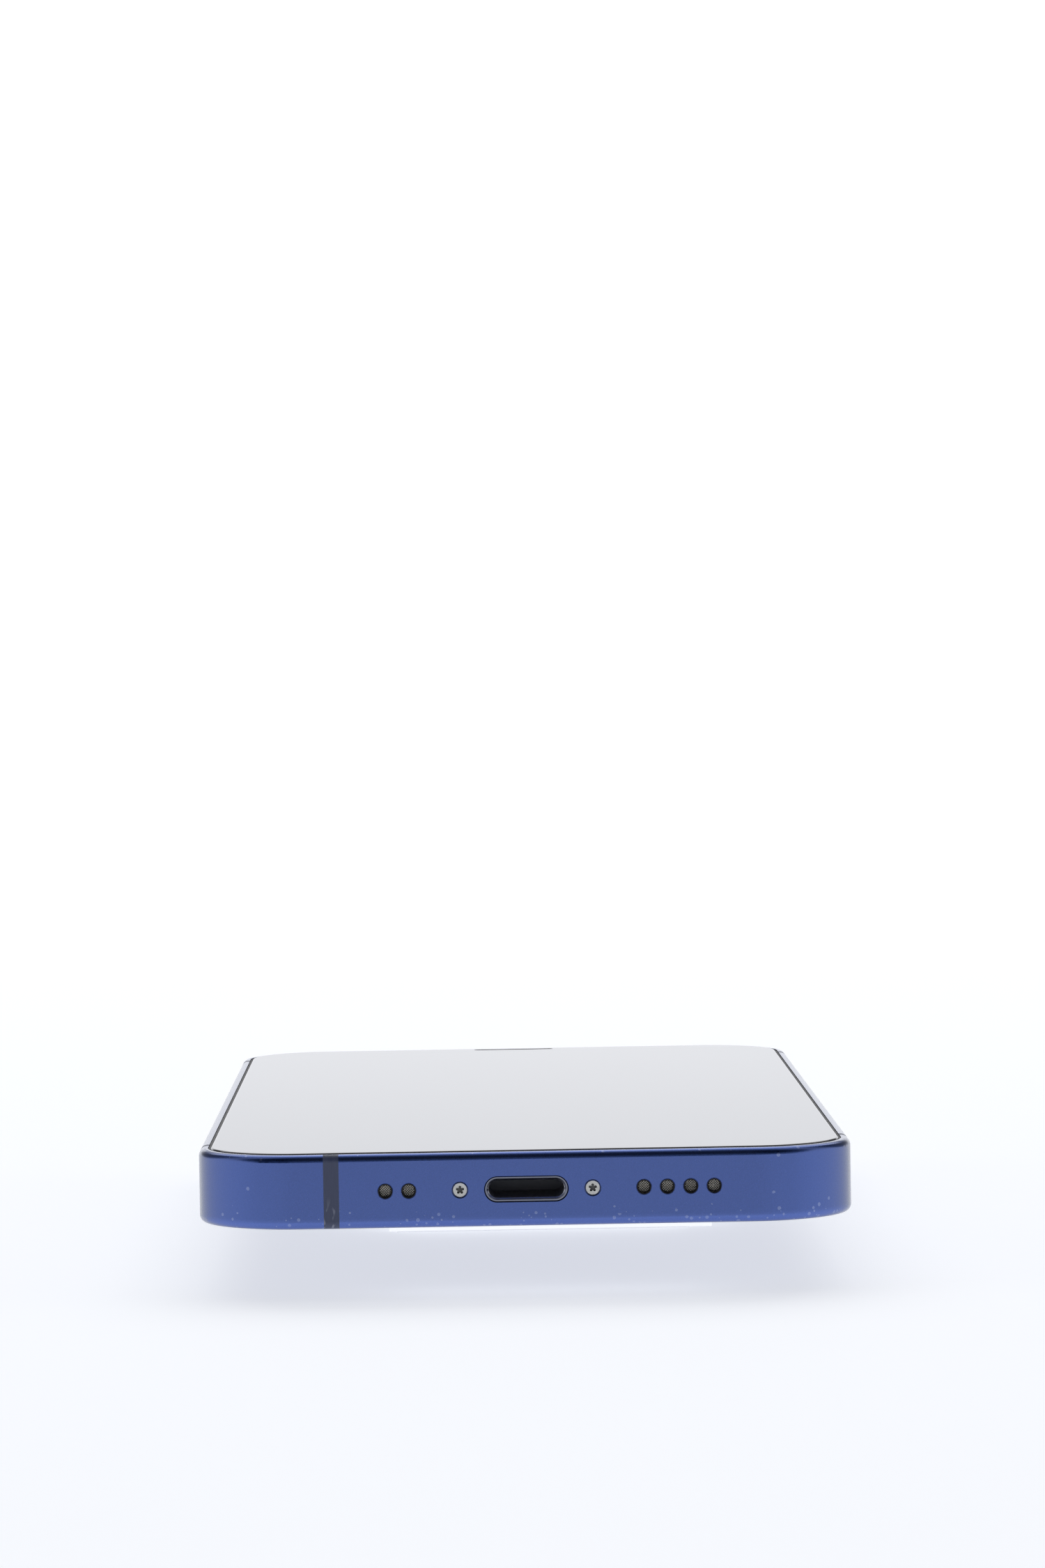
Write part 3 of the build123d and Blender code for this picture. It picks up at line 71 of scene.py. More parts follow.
# ------------------------------------------------------------------ shader building blocks
class Shader:
    """A material's node tree, with short calls for the nodes that the finishes need."""

    def __init__(self, name):
        self.material = bpy.data.materials.new(name)
        self.material.use_nodes = True
        self.tree = self.material.node_tree
        self.surface = self.tree.nodes["Principled BSDF"]
        self.coordinates = self.node("ShaderNodeTexCoord").outputs["Object"]

    def node(self, kind, **settings):
        made = self.tree.nodes.new(kind)
        for key, value in settings.items():
            setattr(made, key, value)
        return made

    def put(self, socket, value):
        """Link a socket, or set it to a plain value."""
        if isinstance(value, bpy.types.NodeSocket):
            self.tree.links.new(value, socket)
        else:
            socket.default_value = value

    def math(self, operation, first, second=0.0, clamp=False):
        made = self.node("ShaderNodeMath", operation=operation, use_clamp=clamp)
        self.put(made.inputs[0], first)
        self.put(made.inputs[1], second)
        return made.outputs[0]

    def axes(self):
        """The piece's own X, Y and Z, in metres."""
        made = self.node("ShaderNodeSeparateXYZ")
        self.put(made.inputs[0], self.coordinates)
        return made.outputs

    def noise(self, scale, detail=3.0, stretch=None):
        """Noise from 0 to 1, with scale in cycles per metre."""
        where = self.coordinates
        if stretch:
            mapping = self.node("ShaderNodeMapping")
            self.put(mapping.inputs["Vector"], where)
            mapping.inputs["Scale"].default_value = stretch
            where = mapping.outputs[0]
        made = self.node("ShaderNodeTexNoise")
        self.put(made.inputs["Vector"], where)
        made.inputs["Scale"].default_value = scale
        made.inputs["Detail"].default_value = detail
        return made.outputs["Fac"]

    def ramp(self, value, low, high, out_low=0.0, out_high=1.0):
        """Map a value smoothly from one range to another."""
        made = self.node("ShaderNodeMapRange", interpolation_type="SMOOTHSTEP")
        self.put(made.inputs["Value"], value)
        made.inputs["From Min"].default_value = low
        made.inputs["From Max"].default_value = high
        made.inputs["To Min"].default_value = out_low
        made.inputs["To Max"].default_value = out_high
        return made.outputs[0]

    def mix(self, factor, first, second):
        """Blend two colours."""
        made = self.node("ShaderNodeMix", data_type="RGBA")
        self.put(made.inputs["Factor"], factor)
        for socket, value in ((made.inputs[6], first), (made.inputs[7], second)):
            self.put(socket, value if isinstance(value, bpy.types.NodeSocket) else (*value, 1.0))
        return made.outputs[2]

    def specks(self, scale, size, share):
        """A mask of small round specks. Share is how many cells hold one, a number or a socket."""
        cells = self.node("ShaderNodeTexVoronoi")
        self.put(cells.inputs["Vector"], self.coordinates)
        cells.inputs["Scale"].default_value = scale
        tint = self.node("ShaderNodeSeparateColor")
        self.put(tint.inputs[0], cells.outputs["Color"])
        reach = self.math("MULTIPLY", tint.outputs[0], size)
        inside = self.math("LESS_THAN", cells.outputs["Distance"], reach)
        chosen = self.math("LESS_THAN", tint.outputs[1], share)
        return self.math("MULTIPLY", inside, chosen)

    def bump(self, height, strength, distance):
        made = self.node("ShaderNodeBump")
        self.put(made.inputs["Height"], height)
        made.inputs["Strength"].default_value = strength
        made.inputs["Distance"].default_value = distance
        self.put(self.surface.inputs["Normal"], made.outputs[0])

    def set(self, **values):
        """Set or link the surface's own sockets, by name with underscores for spaces."""
        for key, value in values.items():
            socket = self.surface.inputs[key.replace("_", " ")]
            if socket.type == "RGBA" and not isinstance(value, bpy.types.NodeSocket):
                value = (*value, 1.0)
            self.put(socket, value)


# ------------------------------------------------------------------ finishes
BAND_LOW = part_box("frame_left")[0].z
BAND_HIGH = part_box("frame_left")[1].z
LIGHT_BLUE = (0.041, 0.092, 0.340)
DARK_BLUE = (0.035, 0.082, 0.312)
# Painted highlight colour for the lower rim of the band.
RIM_HIGHLIGHT_BLUE = (0.072, 0.135, 0.460)
SPECK_BLUE = (0.62, 0.70, 0.90)
FINE_SPECK_CELLS = 2000.0  # cells per metre, each with at most one speck
LARGE_SPECK_CELLS = 330.0
FINE_SPECK_TONE = 0.16  # how far a speck's colour goes from the dye's to SPECK_BLUE
LARGE_SPECK_TONE = 0.45


def anodised(name, light, dark, roughness, dust=0.02, rim=1.0):
    """Bead-blasted anodised aluminium: fine grain, cloudy dye, a painted highlight on the lower rim
    weighted by rim, and pale specks.
    """
    s = Shader(name)
    cloud = s.noise(45.0, 2.0)
    grain = s.noise(9000.0, 2.0)
    height = s.axes()[2]
    # Painted highlight: the colour turns paler over the lowest millimetre of the band, weighted by rim.
    low_rim_highlight = s.ramp(height, BAND_LOW + 0.3 * MM, BAND_LOW + 1.1 * MM, rim, 0.0)
    colour = s.mix(low_rim_highlight, s.mix(cloud, dark, light), RIM_HIGHLIGHT_BLUE)
    low_edge = s.ramp(height, BAND_LOW + 0.1 * MM, BAND_LOW + 2.6 * MM, dust * 50, dust * 2)
    top_edge = s.ramp(height, BAND_HIGH - 0.7 * MM, BAND_HIGH - 0.2 * MM, 0.0, dust * 5)
    patches = s.ramp(s.noise(200.0, 2.0), 0.36, 0.56)
    share = s.math("ADD", s.math("MULTIPLY", low_edge, patches), top_edge)
    fine = s.specks(FINE_SPECK_CELLS, 0.40, share)
    large = s.specks(LARGE_SPECK_CELLS, 0.10, dust * 2)
    pale = s.math("MAXIMUM", fine, large)
    fine_tone = s.math("MULTIPLY", fine, FINE_SPECK_TONE)
    large_tone = s.math("MULTIPLY", large, LARGE_SPECK_TONE)
    faint = s.math("ADD", fine_tone, large_tone, True)
    s.set(
        Base_Color=s.mix(faint, colour, SPECK_BLUE),
        Metallic=1.0,
        Roughness=s.ramp(grain, 0.3, 0.7, roughness - 0.03, roughness + 0.05),
        Coat_Weight=1.0,
        Coat_Roughness=0.20,
        Coat_IOR=1.55,
        Specular_Tint=(0.45, 0.45, 0.40),
    )
    s.bump(s.math("ADD", grain, pale), 0.12, 0.01 * MM)
    return s.material


def break_plastic():
    """Blue-grey filled plastic, machined flush with faint upright tool marks."""
    s = Shader("blue_grey_plastic")
    streaks = s.noise(900.0, 4.0, (6.0, 6.0, 0.6))
    marks = s.ramp(s.noise(2200.0, 1.0, (1.0, 1.0, 0.35)), 0.60, 0.70)
    lower_half = s.ramp(s.axes()[2], BAND_LOW + 0.8 * MM, BAND_LOW + 3.4 * MM, 0.55, 0.0)
    colour = s.mix(streaks, (0.040, 0.052, 0.105), (0.070, 0.084, 0.150))
    s.set(
        Base_Color=s.mix(s.math("MULTIPLY", marks, lower_half), colour, (0.3, 0.32, 0.4)),
        Roughness=s.ramp(streaks, 0.3, 0.7, 0.42, 0.55),
        IOR=1.5,
    )
    s.bump(streaks, 0.15, 0.02 * MM)
    return s.material


PANEL_BORDER = 1.2 * MM
SENSOR_MARGIN = 1.3 * MM
WINDOW_R = 1.25 * MM
WINDOW_FADE = 0.20 * MM


def front_glass_finish():
    """Polished cover glass with the screen off: black, with a faint lit area and sensor windows."""
    s = Shader("black_front_glass")
    x, y, _ = s.axes()
    panel_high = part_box("display_panel")[1]
    inside_x = s.math("LESS_THAN", s.math("ABSOLUTE", x), panel_high.x - PANEL_BORDER)
    inside_y = s.math("LESS_THAN", s.math("ABSOLUTE", y), panel_high.y - PANEL_BORDER)
    in_panel = s.math("MULTIPLY", inside_x, inside_y)
    sensors_low, sensors_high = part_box("sensor_bracket")
    beside = s.math("GREATER_THAN", s.math("ABSOLUTE", x), sensors_high.x + SENSOR_MARGIN)
    below = s.math("LESS_THAN", y, sensors_low.y)
    clear = s.math("MAXIMUM", beside, below)
    lit = s.math("MULTIPLY", in_panel, clear)
    colour = s.mix(lit, (0.0025, 0.0025, 0.003), (0.0075, 0.0078, 0.0088))
    for node, tint in (
        ("front_camera", (0.004, 0.010, 0.045)),
        ("infrared_camera", (0.012, 0.003, 0.006)),
        ("dot_projector", (0.010, 0.004, 0.012)),
    ):
        low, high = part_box(node)
        offset_x = s.math("SUBTRACT", x, (low.x + high.x) / 2)
        offset_y = s.math("SUBTRACT", y, (low.y + high.y) / 2)
        square = s.math("MULTIPLY", offset_x, offset_x)
        reach = s.math("SQRT", s.math("ADD", square, s.math("MULTIPLY", offset_y, offset_y)))
        window = s.ramp(reach, WINDOW_R, WINDOW_R + WINDOW_FADE, 1.0, 0.0)
        colour = s.mix(window, colour, tint)
    smudge = s.noise(38.0, 5.0)
    s.set(
        Base_Color=colour,
        Roughness=s.ramp(smudge, 0.35, 0.8, 0.018, 0.05),
        IOR=1.52,
    )
    return s.material


BACK_GLASS_T = 0.8 * MM


def back_glass_finish():
    """Polished blue back glass, with a frosted camera plateau."""
    s = Shader("blue_back_glass")
    height = s.axes()[2]
    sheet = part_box("back_glass")[1].z - BACK_GLASS_T
    frosted = s.ramp(height, sheet - 0.25 * MM, sheet - 0.1 * MM, 1.0, 0.0)
    depth = s.noise(30.0, 2.0)
    glossy = s.mix(depth, (0.012, 0.034, 0.125), (0.018, 0.046, 0.155))
    grain = s.noise(7000.0, 2.0)
    s.set(
        Base_Color=s.mix(frosted, glossy, (0.026, 0.060, 0.185)),
        Roughness=s.math("ADD", s.math("MULTIPLY", frosted, 0.30), s.ramp(depth, 0.3, 0.7, 0.03, 0.05)),
        IOR=1.52,
        Coat_Weight=0.6,
        Coat_Roughness=0.03,
    )
    s.bump(s.math("MULTIPLY", grain, frosted), 0.10, 0.01 * MM)
    return s.material


def steel(name, colour, roughness, brushed=(1.0, 1.0, 1.0), wear=0.5):
    """Bright steel or plated metal with fine drawn lines."""
    s = Shader(name)
    lines = s.noise(2600.0, 3.0, brushed)
    stain = s.noise(350.0, 3.0)
    darker = tuple(c * wear for c in colour)
    s.set(
        Base_Color=s.mix(s.ramp(stain, 0.35, 0.75, 0.0, 0.55), colour, darker),
        Metallic=1.0,
        Roughness=s.ramp(lines, 0.3, 0.7, roughness * 0.8, roughness * 1.3),
    )
    s.bump(lines, 0.08, 0.01 * MM)
    return s.material


def port_finish():
    """The port's shell: a bright steel rim, darker at the mouth with a painted highlight along its inner
    edge, and black moulding and shade inside.
    """
    s = Shader("port_steel")
    depth = s.axes()[1]
    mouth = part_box("port_shell")[0].y
    inside = s.ramp(depth, mouth + 0.20 * MM, mouth + 0.28 * MM)
    # Painted highlight: the rim's steel is darker at the mouth and turns bright along its inner edge.
    inner_edge_highlight = s.ramp(depth, mouth + 0.10 * MM, mouth + 0.17 * MM)
    rim = s.mix(inner_edge_highlight, (0.17, 0.18, 0.22), (0.52, 0.52, 0.55))
    lines = s.noise(2400.0, 3.0)
    s.set(
        Base_Color=s.mix(inside, rim, (0.13, 0.145, 0.20)),
        Metallic=s.math("SUBTRACT", 1.0, inside),
        Roughness=s.math("ADD", s.ramp(lines, 0.3, 0.7, 0.08, 0.15), s.math("MULTIPLY", inside, 0.3)),
    )
    s.bump(lines, 0.05, 0.01 * MM)
    return s.material


def screw_finish():
    """Nickel-plated screw heads: satin outside, and painted shade down in the socket."""
    s = Shader("screw_nickel")
    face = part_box("bottom_screws")[0].y
    # Painted shade: the colour darkens down in the socket.
    socket = s.ramp(s.axes()[1], face + 0.12 * MM, face + 0.30 * MM)
    lines = s.noise(3200.0, 3.0)
    s.set(
        Base_Color=s.mix(socket, (0.60, 0.60, 0.58), (0.10, 0.10, 0.10)),
        Metallic=1.0,
        Roughness=s.ramp(lines, 0.3, 0.7, 0.34, 0.48),
    )
    s.bump(lines, 0.10, 0.01 * MM)
    return s.material


def plastic(name, dark, light, roughness, grain=5000.0, bump=0.15, **more):
    """Moulded plastic, rubber or film: a two-tone mottle with a fine texture."""
    s = Shader(name)
    mottle = s.noise(grain / 12, 3.0)
    fine = s.noise(grain, 2.0)
    s.set(
        Base_Color=s.mix(mottle, dark, light),
        Roughness=s.ramp(fine, 0.3, 0.7, roughness - 0.05, roughness + 0.08),
        **more,
    )
    s.bump(fine, bump, 0.02 * MM)
    return s.material


def circuit_board():
    """Dark solder mask with fine copper tracks and gilt pads."""
    s = Shader("circuit_board")
    bricks = s.node("ShaderNodeTexBrick")
    s.put(bricks.inputs["Vector"], s.coordinates)
    bricks.inputs["Scale"].default_value = 900.0
    bricks.inputs["Mortar Size"].default_value = 0.03
    bricks.inputs["Color1"].default_value = (0.012, 0.030, 0.052, 1)
    bricks.inputs["Color2"].default_value = (0.016, 0.036, 0.060, 1)
    bricks.inputs["Mortar"].default_value = (0.05, 0.07, 0.06, 1)
    pads = s.specks(900.0, 0.5, 0.12)
    s.set(
        Base_Color=s.mix(pads, bricks.outputs["Color"], (0.75, 0.52, 0.18)),
        Metallic=pads,
        Roughness=s.ramp(s.noise(1500.0), 0.3, 0.7, 0.3, 0.42),
    )
    s.bump(bricks.outputs["Fac"], 0.2, 0.03 * MM)
    return s.material


COIL_PITCH = 0.45 * MM


def wound_copper():
    """Enamelled copper wound in a flat spiral, with painted shade in the grooves between turns."""
    s = Shader("copper_coil")
    x, y, _ = s.axes()
    square = s.math("ADD", s.math("MULTIPLY", x, x), s.math("MULTIPLY", y, y))
    radius = s.math("SQRT", square)
    turn = s.math("FRACT", s.math("MULTIPLY", radius, 1 / COIL_PITCH))
    groove = s.math("ABSOLUTE", s.math("SUBTRACT", turn, 0.5))
    s.set(
        # Painted shade: the copper's colour darkens towards the grooves between turns.
        Base_Color=s.mix(s.ramp(groove, 0.3, 0.5), (0.72, 0.33, 0.17), (0.20, 0.07, 0.03)),
        Metallic=1.0,
        Roughness=s.ramp(s.noise(3000.0), 0.3, 0.7, 0.22, 0.34),
    )
    s.bump(groove, 0.4, 0.05 * MM)
    return s.material


CONTACT_HALF_X = 4.6 * MM
CONTACT_HALF_Y = 3.6 * MM


def sim_card_finish():
    """White card stock with a gilt contact field."""
    s = Shader("card_plastic")
    x, y, z = s.axes()
    low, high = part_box("sim_card")
    middle = (low + high) / 2
    offset_x = s.math("ABSOLUTE", s.math("SUBTRACT", x, middle.x))
    offset_y = s.math("ABSOLUTE", s.math("SUBTRACT", y, middle.y))
    near_x = s.math("LESS_THAN", offset_x, CONTACT_HALF_X)
    near_y = s.math("LESS_THAN", offset_y, CONTACT_HALF_Y)
    under = s.math("LESS_THAN", z, middle.z)
    field = s.math("MULTIPLY", s.math("MULTIPLY", near_x, near_y), under)
    s.set(
        Base_Color=s.mix(field, (0.78, 0.78, 0.76), (0.83, 0.62, 0.26)),
        Metallic=field,
        Roughness=s.ramp(s.noise(2500.0), 0.3, 0.7, 0.35, 0.5),
    )
    return s.material


def switch_finish():
    """The ring switch: blue tab, with the orange flag behind it that shows when it is set to silent."""
    s = Shader("ring_switch_blue")
    x, _, z = s.axes()
    low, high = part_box("ring_switch")
    behind = s.math("GREATER_THAN", x, low.x + 1.2 * MM)
    above = s.math("GREATER_THAN", z, (low.z + high.z) / 2 + 0.55 * MM)
    flag = s.math("MULTIPLY", behind, above)
    grain = s.noise(9000.0, 2.0)
    s.set(
        Base_Color=s.mix(flag, (0.070, 0.110, 0.315), (0.85, 0.16, 0.02)),
        Metallic=s.math("SUBTRACT", 1.0, flag),
        Roughness=s.ramp(grain, 0.3, 0.7, 0.28, 0.36),
    )
    s.bump(grain, 0.12, 0.01 * MM)
    return s.material


def clear_cover():
    """The clear, hard cover over each rear lens."""
    s = Shader("lens_cover")
    s.set(
        Base_Color=(0.93, 0.95, 0.98),
        Roughness=s.ramp(s.noise(60.0, 4.0), 0.4, 0.8, 0.0, 0.02),
        Transmission_Weight=1.0,
        IOR=1.5,
    )
    return s.material


def coated_lens():
    """A deep lens element with a purple and green reflection coating."""
    s = Shader("coated_lens")
    s.set(
        Base_Color=s.mix(s.noise(400.0, 1.0), (0.003, 0.003, 0.010), (0.010, 0.004, 0.022)),
        Roughness=0.02,
        IOR=1.7,
        Coat_Weight=1.0,
        Coat_Roughness=0.01,
        Thin_Film_Thickness=420.0,
        Thin_Film_IOR=1.35,
    )
    return s.material


FINISHES = {
    "anodised_blue": anodised("anodised_blue", LIGHT_BLUE, DARK_BLUE, 0.30),
    "sim_tray_blue": anodised("sim_tray_blue", LIGHT_BLUE, DARK_BLUE, 0.30, 0.005),
    "blue_grey_plastic": break_plastic(),
    "black_front_glass": front_glass_finish(),
    "blue_back_glass": back_glass_finish(),
    "black_gasket": plastic("black_gasket", (0.010, 0.010, 0.012), (0.020, 0.020, 0.022), 0.55),
    "bare_aluminium": steel("bare_aluminium", (0.78, 0.79, 0.81), 0.34, (8.0, 1.0, 1.0), 0.8),
    "magnet_nickel": steel("magnet_nickel", (0.66, 0.63, 0.58), 0.22),
    "copper_coil": wound_copper(),
    "ferrite": plastic("ferrite", (0.030, 0.030, 0.034), (0.055, 0.055, 0.060), 0.6),
    "lens_cover": clear_cover(),
    "black_housing": plastic("black_housing", (0.006, 0.006, 0.007), (0.012, 0.012, 0.014), 0.45),
    "led_yellow": plastic("led_yellow", (0.72, 0.52, 0.06), (0.85, 0.70, 0.16), 0.5, 3000.0),
    "diffuser": plastic("diffuser", (0.78, 0.76, 0.70), (0.86, 0.84, 0.78), 0.3, 2500.0, 0.3, IOR=1.45),
    "display_film": plastic("display_film", (0.006, 0.006, 0.008), (0.010, 0.010, 0.012), 0.2),
    "spring_steel": steel("spring_steel", (0.74, 0.74, 0.75), 0.24, (1.0, 7.0, 1.0), 0.7),
    "flex_circuit": plastic("flex_circuit", (0.14, 0.065, 0.012), (0.20, 0.10, 0.025), 0.35),
    "woven_mesh": steel("woven_mesh", (0.97, 0.93, 0.85), 0.45, wear=0.75),
    "battery_wrap": plastic("battery_wrap", (0.012, 0.012, 0.014), (0.022, 0.022, 0.025), 0.4, 900.0),
    "white_adhesive": plastic("white_adhesive", (0.70, 0.70, 0.68), (0.80, 0.80, 0.78), 0.6, 1200.0),
    "circuit_board": circuit_board(),
    "card_plastic": sim_card_finish(),
    "tungsten": steel("tungsten", (0.36, 0.36, 0.38), 0.4, wear=0.8),
    "gold_contacts": steel("gold_contacts", (0.92, 0.68, 0.30), 0.22, wear=0.8),
}
PORT_STEEL = port_finish()
SWITCH_BLUE = switch_finish()
SCREW_STEEL = screw_finish()
LENS_RING_BLUE = anodised("lens_ring_blue", (0.10, 0.15, 0.38), (0.09, 0.14, 0.35), 0.18, 0.0, 0.0)
COATED_LENS = coated_lens()
OWN_FINISH = {
    "port_shell": PORT_STEEL,
    "ring_switch": SWITCH_BLUE,
    "bottom_screws": SCREW_STEEL,
    "lens_rings": LENS_RING_BLUE,
}


def dress(node, material):
    """Give a carried-over CAD node its finish."""
    mesh = NODES[node].data
    mesh.materials.clear()
    mesh.materials.append(material)


for entry in frame["record"]["subparts"]:
    node = entry["node"]
    dress(node, OWN_FINISH.get(node, FINISHES[entry["material_slot"]]))


# ------------------------------------------------------------------ added pieces
def loose_piece(name, points, faces, material, smooth=True):
    """Make a mesh piece with the given finish, which rides on nothing yet."""
    mesh = bpy.data.meshes.new(name)
    mesh.from_pydata([tuple(p) for p in points], [], faces)
    mesh.update()
    tidy = bmesh.new()
    tidy.from_mesh(mesh)
    bmesh.ops.recalc_face_normals(tidy, faces=tidy.faces)
    tidy.to_mesh(mesh)
    tidy.free()
    for polygon in mesh.polygons:
        polygon.use_smooth = smooth
    mesh.materials.append(material)
    made = bpy.data.objects.new(name, mesh)
    bpy.context.scene.collection.objects.link(made)
    return made


def piece(name, points, faces, material, body, smooth=True):
    """Make a mesh piece that rides on a body."""
    made = loose_piece(name, points, faces, material, smooth)
    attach(made, body)
    return made


def tube(path, radius, sides, points, faces):
    """Add a closed round tube along a path to a mesh's points and faces."""
    first = len(points)
    for i, here in enumerate(path):
        ahead = path[min(i + 1, len(path) - 1)] - path[max(i - 1, 0)]
        along = ahead.normalized()
        across = along.cross(Vector((0, 0, 1) if abs(along.z) < 0.9 else (1, 0, 0))).normalized()
        other = along.cross(across)
        for k in range(sides):
            turn = 2 * math.pi * k / sides
            points.append(here + radius * (math.cos(turn) * across + math.sin(turn) * other))
    for i in range(len(path) - 1):
        for k in range(sides):
            a = first + i * sides + k
            b = first + i * sides + (k + 1) % sides
            faces.append((a, b, b + sides, a + sides))
    last = first + (len(path) - 1) * sides
    faces.append(tuple(first + k for k in range(sides)))
    faces.append(tuple(last + k for k in reversed(range(sides))))


def weave(centre, across, up, inside, half_span, pitch, wire_r, points, faces):
    """Add plain-woven wires at 45 degrees, over and under each other, where inside(u, v) holds."""
    out = across.cross(up)
    count = int(half_span * 1.5 / pitch)
    steps = 4
    for family in (0, 1):
        along = (1 / math.sqrt(2), (1 - 2 * family) / math.sqrt(2))
        aside = (-along[1], along[0])
        for k in range(-count, count + 1):
            path = []
            for j in range(-count * steps, count * steps + 1):
                t = j * pitch / steps
                u = k * pitch * aside[0] + t * along[0]
                v = k * pitch * aside[1] + t * along[1]
                if not inside(u, v):
                    continue
                wave = math.cos(math.pi * (t / pitch + k + family))
                path.append(centre + u * across + v * up + wire_r * 0.95 * wave * out)
            if len(path) > 3:
                tube(path, wire_r, 6, points, faces)


def holes():
    """Centres of the drilled sound holes, from the acoustic plates behind them."""
    low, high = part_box("acoustic_meshes")
    z = (low.z + high.z) / 2
    mic = [low.x + POCKET_END + i * HOLE_PITCH for i in range(2)]
    speaker = [high.x - POCKET_END - i * HOLE_PITCH for i in range(4)]
    return [Vector((x, low.y, z)) for x in (*mic, *speaker)]


POCKET_END = 1.13 * MM
HOLE_R = 0.71 * MM
OPENING_R = 0.54 * MM
WIRE_PITCH = 0.17 * MM
WIRE_R = 0.032 * MM
EAR_PITCH = 0.2 * MM
EAR_WIRE_R = 0.03 * MM
HOLE_PITCH = 2.27 * MM
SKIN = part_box("acoustic_meshes")[0].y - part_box("frame_bottom")[0].y
X_AXIS, Y_AXIS, Z_AXIS = Vector((1, 0, 0)), Vector((0, 1, 0)), Vector((0, 0, 1))


def sound_meshes():
    """Woven wire discs behind the microphone and loudspeaker holes."""
    points, faces = [], []
    disc = OPENING_R + 0.08 * MM
    for hole in holes():
        centre = hole + 0.06 * MM * Y_AXIS
        weave(
            centre, X_AXIS, Z_AXIS, lambda u, v: u * u + v * v < disc * disc, disc,
            WIRE_PITCH, WIRE_R, points, faces,
        )
    made = piece("woven_sound_meshes", points, faces, FINISHES["woven_mesh"], PHONE)
    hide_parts("acoustic_meshes")


def lathe(profile, centre, axis, across, segments, points, faces):
    """Add a closed ring turned from a profile of (radius, distance along the axis)."""
    first = len(points)
    up = axis.cross(across)
    count = len(profile)
    for i in range(segments):
        turn = 2 * math.pi * i / segments
        outward = math.cos(turn) * across + math.sin(turn) * up
        points.extend(centre + r * outward + d * axis for r, d in profile)
    for i in range(segments):
        for j in range(count):
            a = first + i * count + j
            b = first + i * count + (j + 1) % count
            c = first + ((i + 1) % segments) * count + (j + 1) % count
            d = first + ((i + 1) % segments) * count + j
            faces.append((a, b, c, d))


def shaded_hole_liners():
    """Black funnels in the sound holes, which narrow towards the woven wire; their black is painted shade
    on the hole walls.
    """
    points, faces = [], []
    outer = HOLE_R - 0.008 * MM
    mouth = outer - 0.03 * MM
    profile = [
        (outer, -SKIN + 0.17 * MM),
        (outer, -0.01 * MM),
        (OPENING_R, -0.01 * MM),
        (OPENING_R, -0.08 * MM),
        (mouth, -SKIN + 0.17 * MM),
    ]
    for hole in holes():
        lathe(profile, hole, Y_AXIS, X_AXIS, 40, points, faces)
    # The black finish on these funnels is painted shade inside the holes.
    piece("sound_hole_shade_liners", points, faces, FINISHES["black_gasket"], PHONE, False)


def earpiece_grille():
    """Woven wire in the earpiece slot."""
    low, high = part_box("earpiece_mesh")
    centre = (low + high) / 2
    half_x, half_y = (high.x - low.x) / 2, (high.y - low.y) / 2
    straight = half_x - half_y

    def inside(u, v):
        past = max(abs(u) - straight, 0.0)
        return past * past + v * v < (half_y - WIRE_R) ** 2

    points, faces = [], []
    weave(centre, X_AXIS, Y_AXIS, inside, half_x, EAR_PITCH, EAR_WIRE_R, points, faces)
    made = piece("woven_earpiece_mesh", points, faces, FINISHES["woven_mesh"], PHONE)
    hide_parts("earpiece_mesh")


def dome(name, centre, radius, rise, body):
    """A lens element: a disc that bulges towards -Z, on a flat back."""
    rings, segments = 8, 48
    points, faces = [centre - rise * Z_AXIS], []
    for i in range(1, rings + 1):
        r = radius * i / rings
        drop = rise * (1 - (i / rings) ** 2)
        for k in range(segments):
            turn = 2 * math.pi * k / segments
            points.append(centre + Vector((r * math.cos(turn), r * math.sin(turn), -drop)))
    for k in range(segments):
        faces.append((0, 1 + k, 1 + (k + 1) % segments))
    for i in range(rings - 1):
        for k in range(segments):
            a = 1 + i * segments + k
            b = 1 + i * segments + (k + 1) % segments
            faces.append((a, a + segments, b + segments, b))
    rim = 1 + (rings - 1) * segments
    faces.append(tuple(rim + k for k in range(segments)))
    return piece(name, points, faces, COATED_LENS, body)


def lens_elements():
    """The front element seated in each rear lens barrel."""
    for node, body, share in (
        ("wide_camera_lens", "wide_lens", 0.58),
        ("ultrawide_camera_lens", PHONE, 0.48),
    ):
        low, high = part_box(node)
        radius = (high.x - low.x) / 2
        seat = Vector(((low.x + high.x) / 2, (low.y + high.y) / 2, low.z + 0.85 * MM))
        dome(node.replace("_camera_lens", "_front_element"), seat, radius * share, 0.35 * MM, body)


LEAF_T = 0.15 * MM
LEAF_STEPS = 32


def haptic_leaves():
    """Leaf springs from the haptic weight to the ends of its case."""
    low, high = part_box("haptic_motor_springs")
    weight_low, weight_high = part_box("haptic_motor_mass")
    half_t = LEAF_T / 2
    gap = half_t + 0.01 * MM
    section = ((-half_t, low.z), (half_t, low.z), (half_t, high.z), (-half_t, high.z))
    for name, inner, outer, side in (
        ("haptic_leaf_left", weight_low.x, low.x, -1),
        ("haptic_leaf_right", weight_high.x, high.x, 1),
    ):
        points, faces = [], []
        first, last = inner + side * gap, outer - side * gap
        for i in range(LEAF_STEPS + 1):
            share = i / LEAF_STEPS
            x = first + (last - first) * share * share * (3 - 2 * share)
            y = low.y + share * (high.y - low.y)
            points.extend(Vector((x + dx, y, z)) for dx, z in section)
        for i in range(LEAF_STEPS):
            for k in range(4):
                a = 4 * i + k
                b = 4 * i + (k + 1) % 4
                faces.append((a, b, b + 4, a + 4))
        faces.append((0, 1, 2, 3))
        faces.append(tuple(4 * LEAF_STEPS + k for k in (3, 2, 1, 0)))
        made = loose_piece(name, points, faces, FINISHES["spring_steel"], False)
        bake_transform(made)
        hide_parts("haptic_motor_springs")


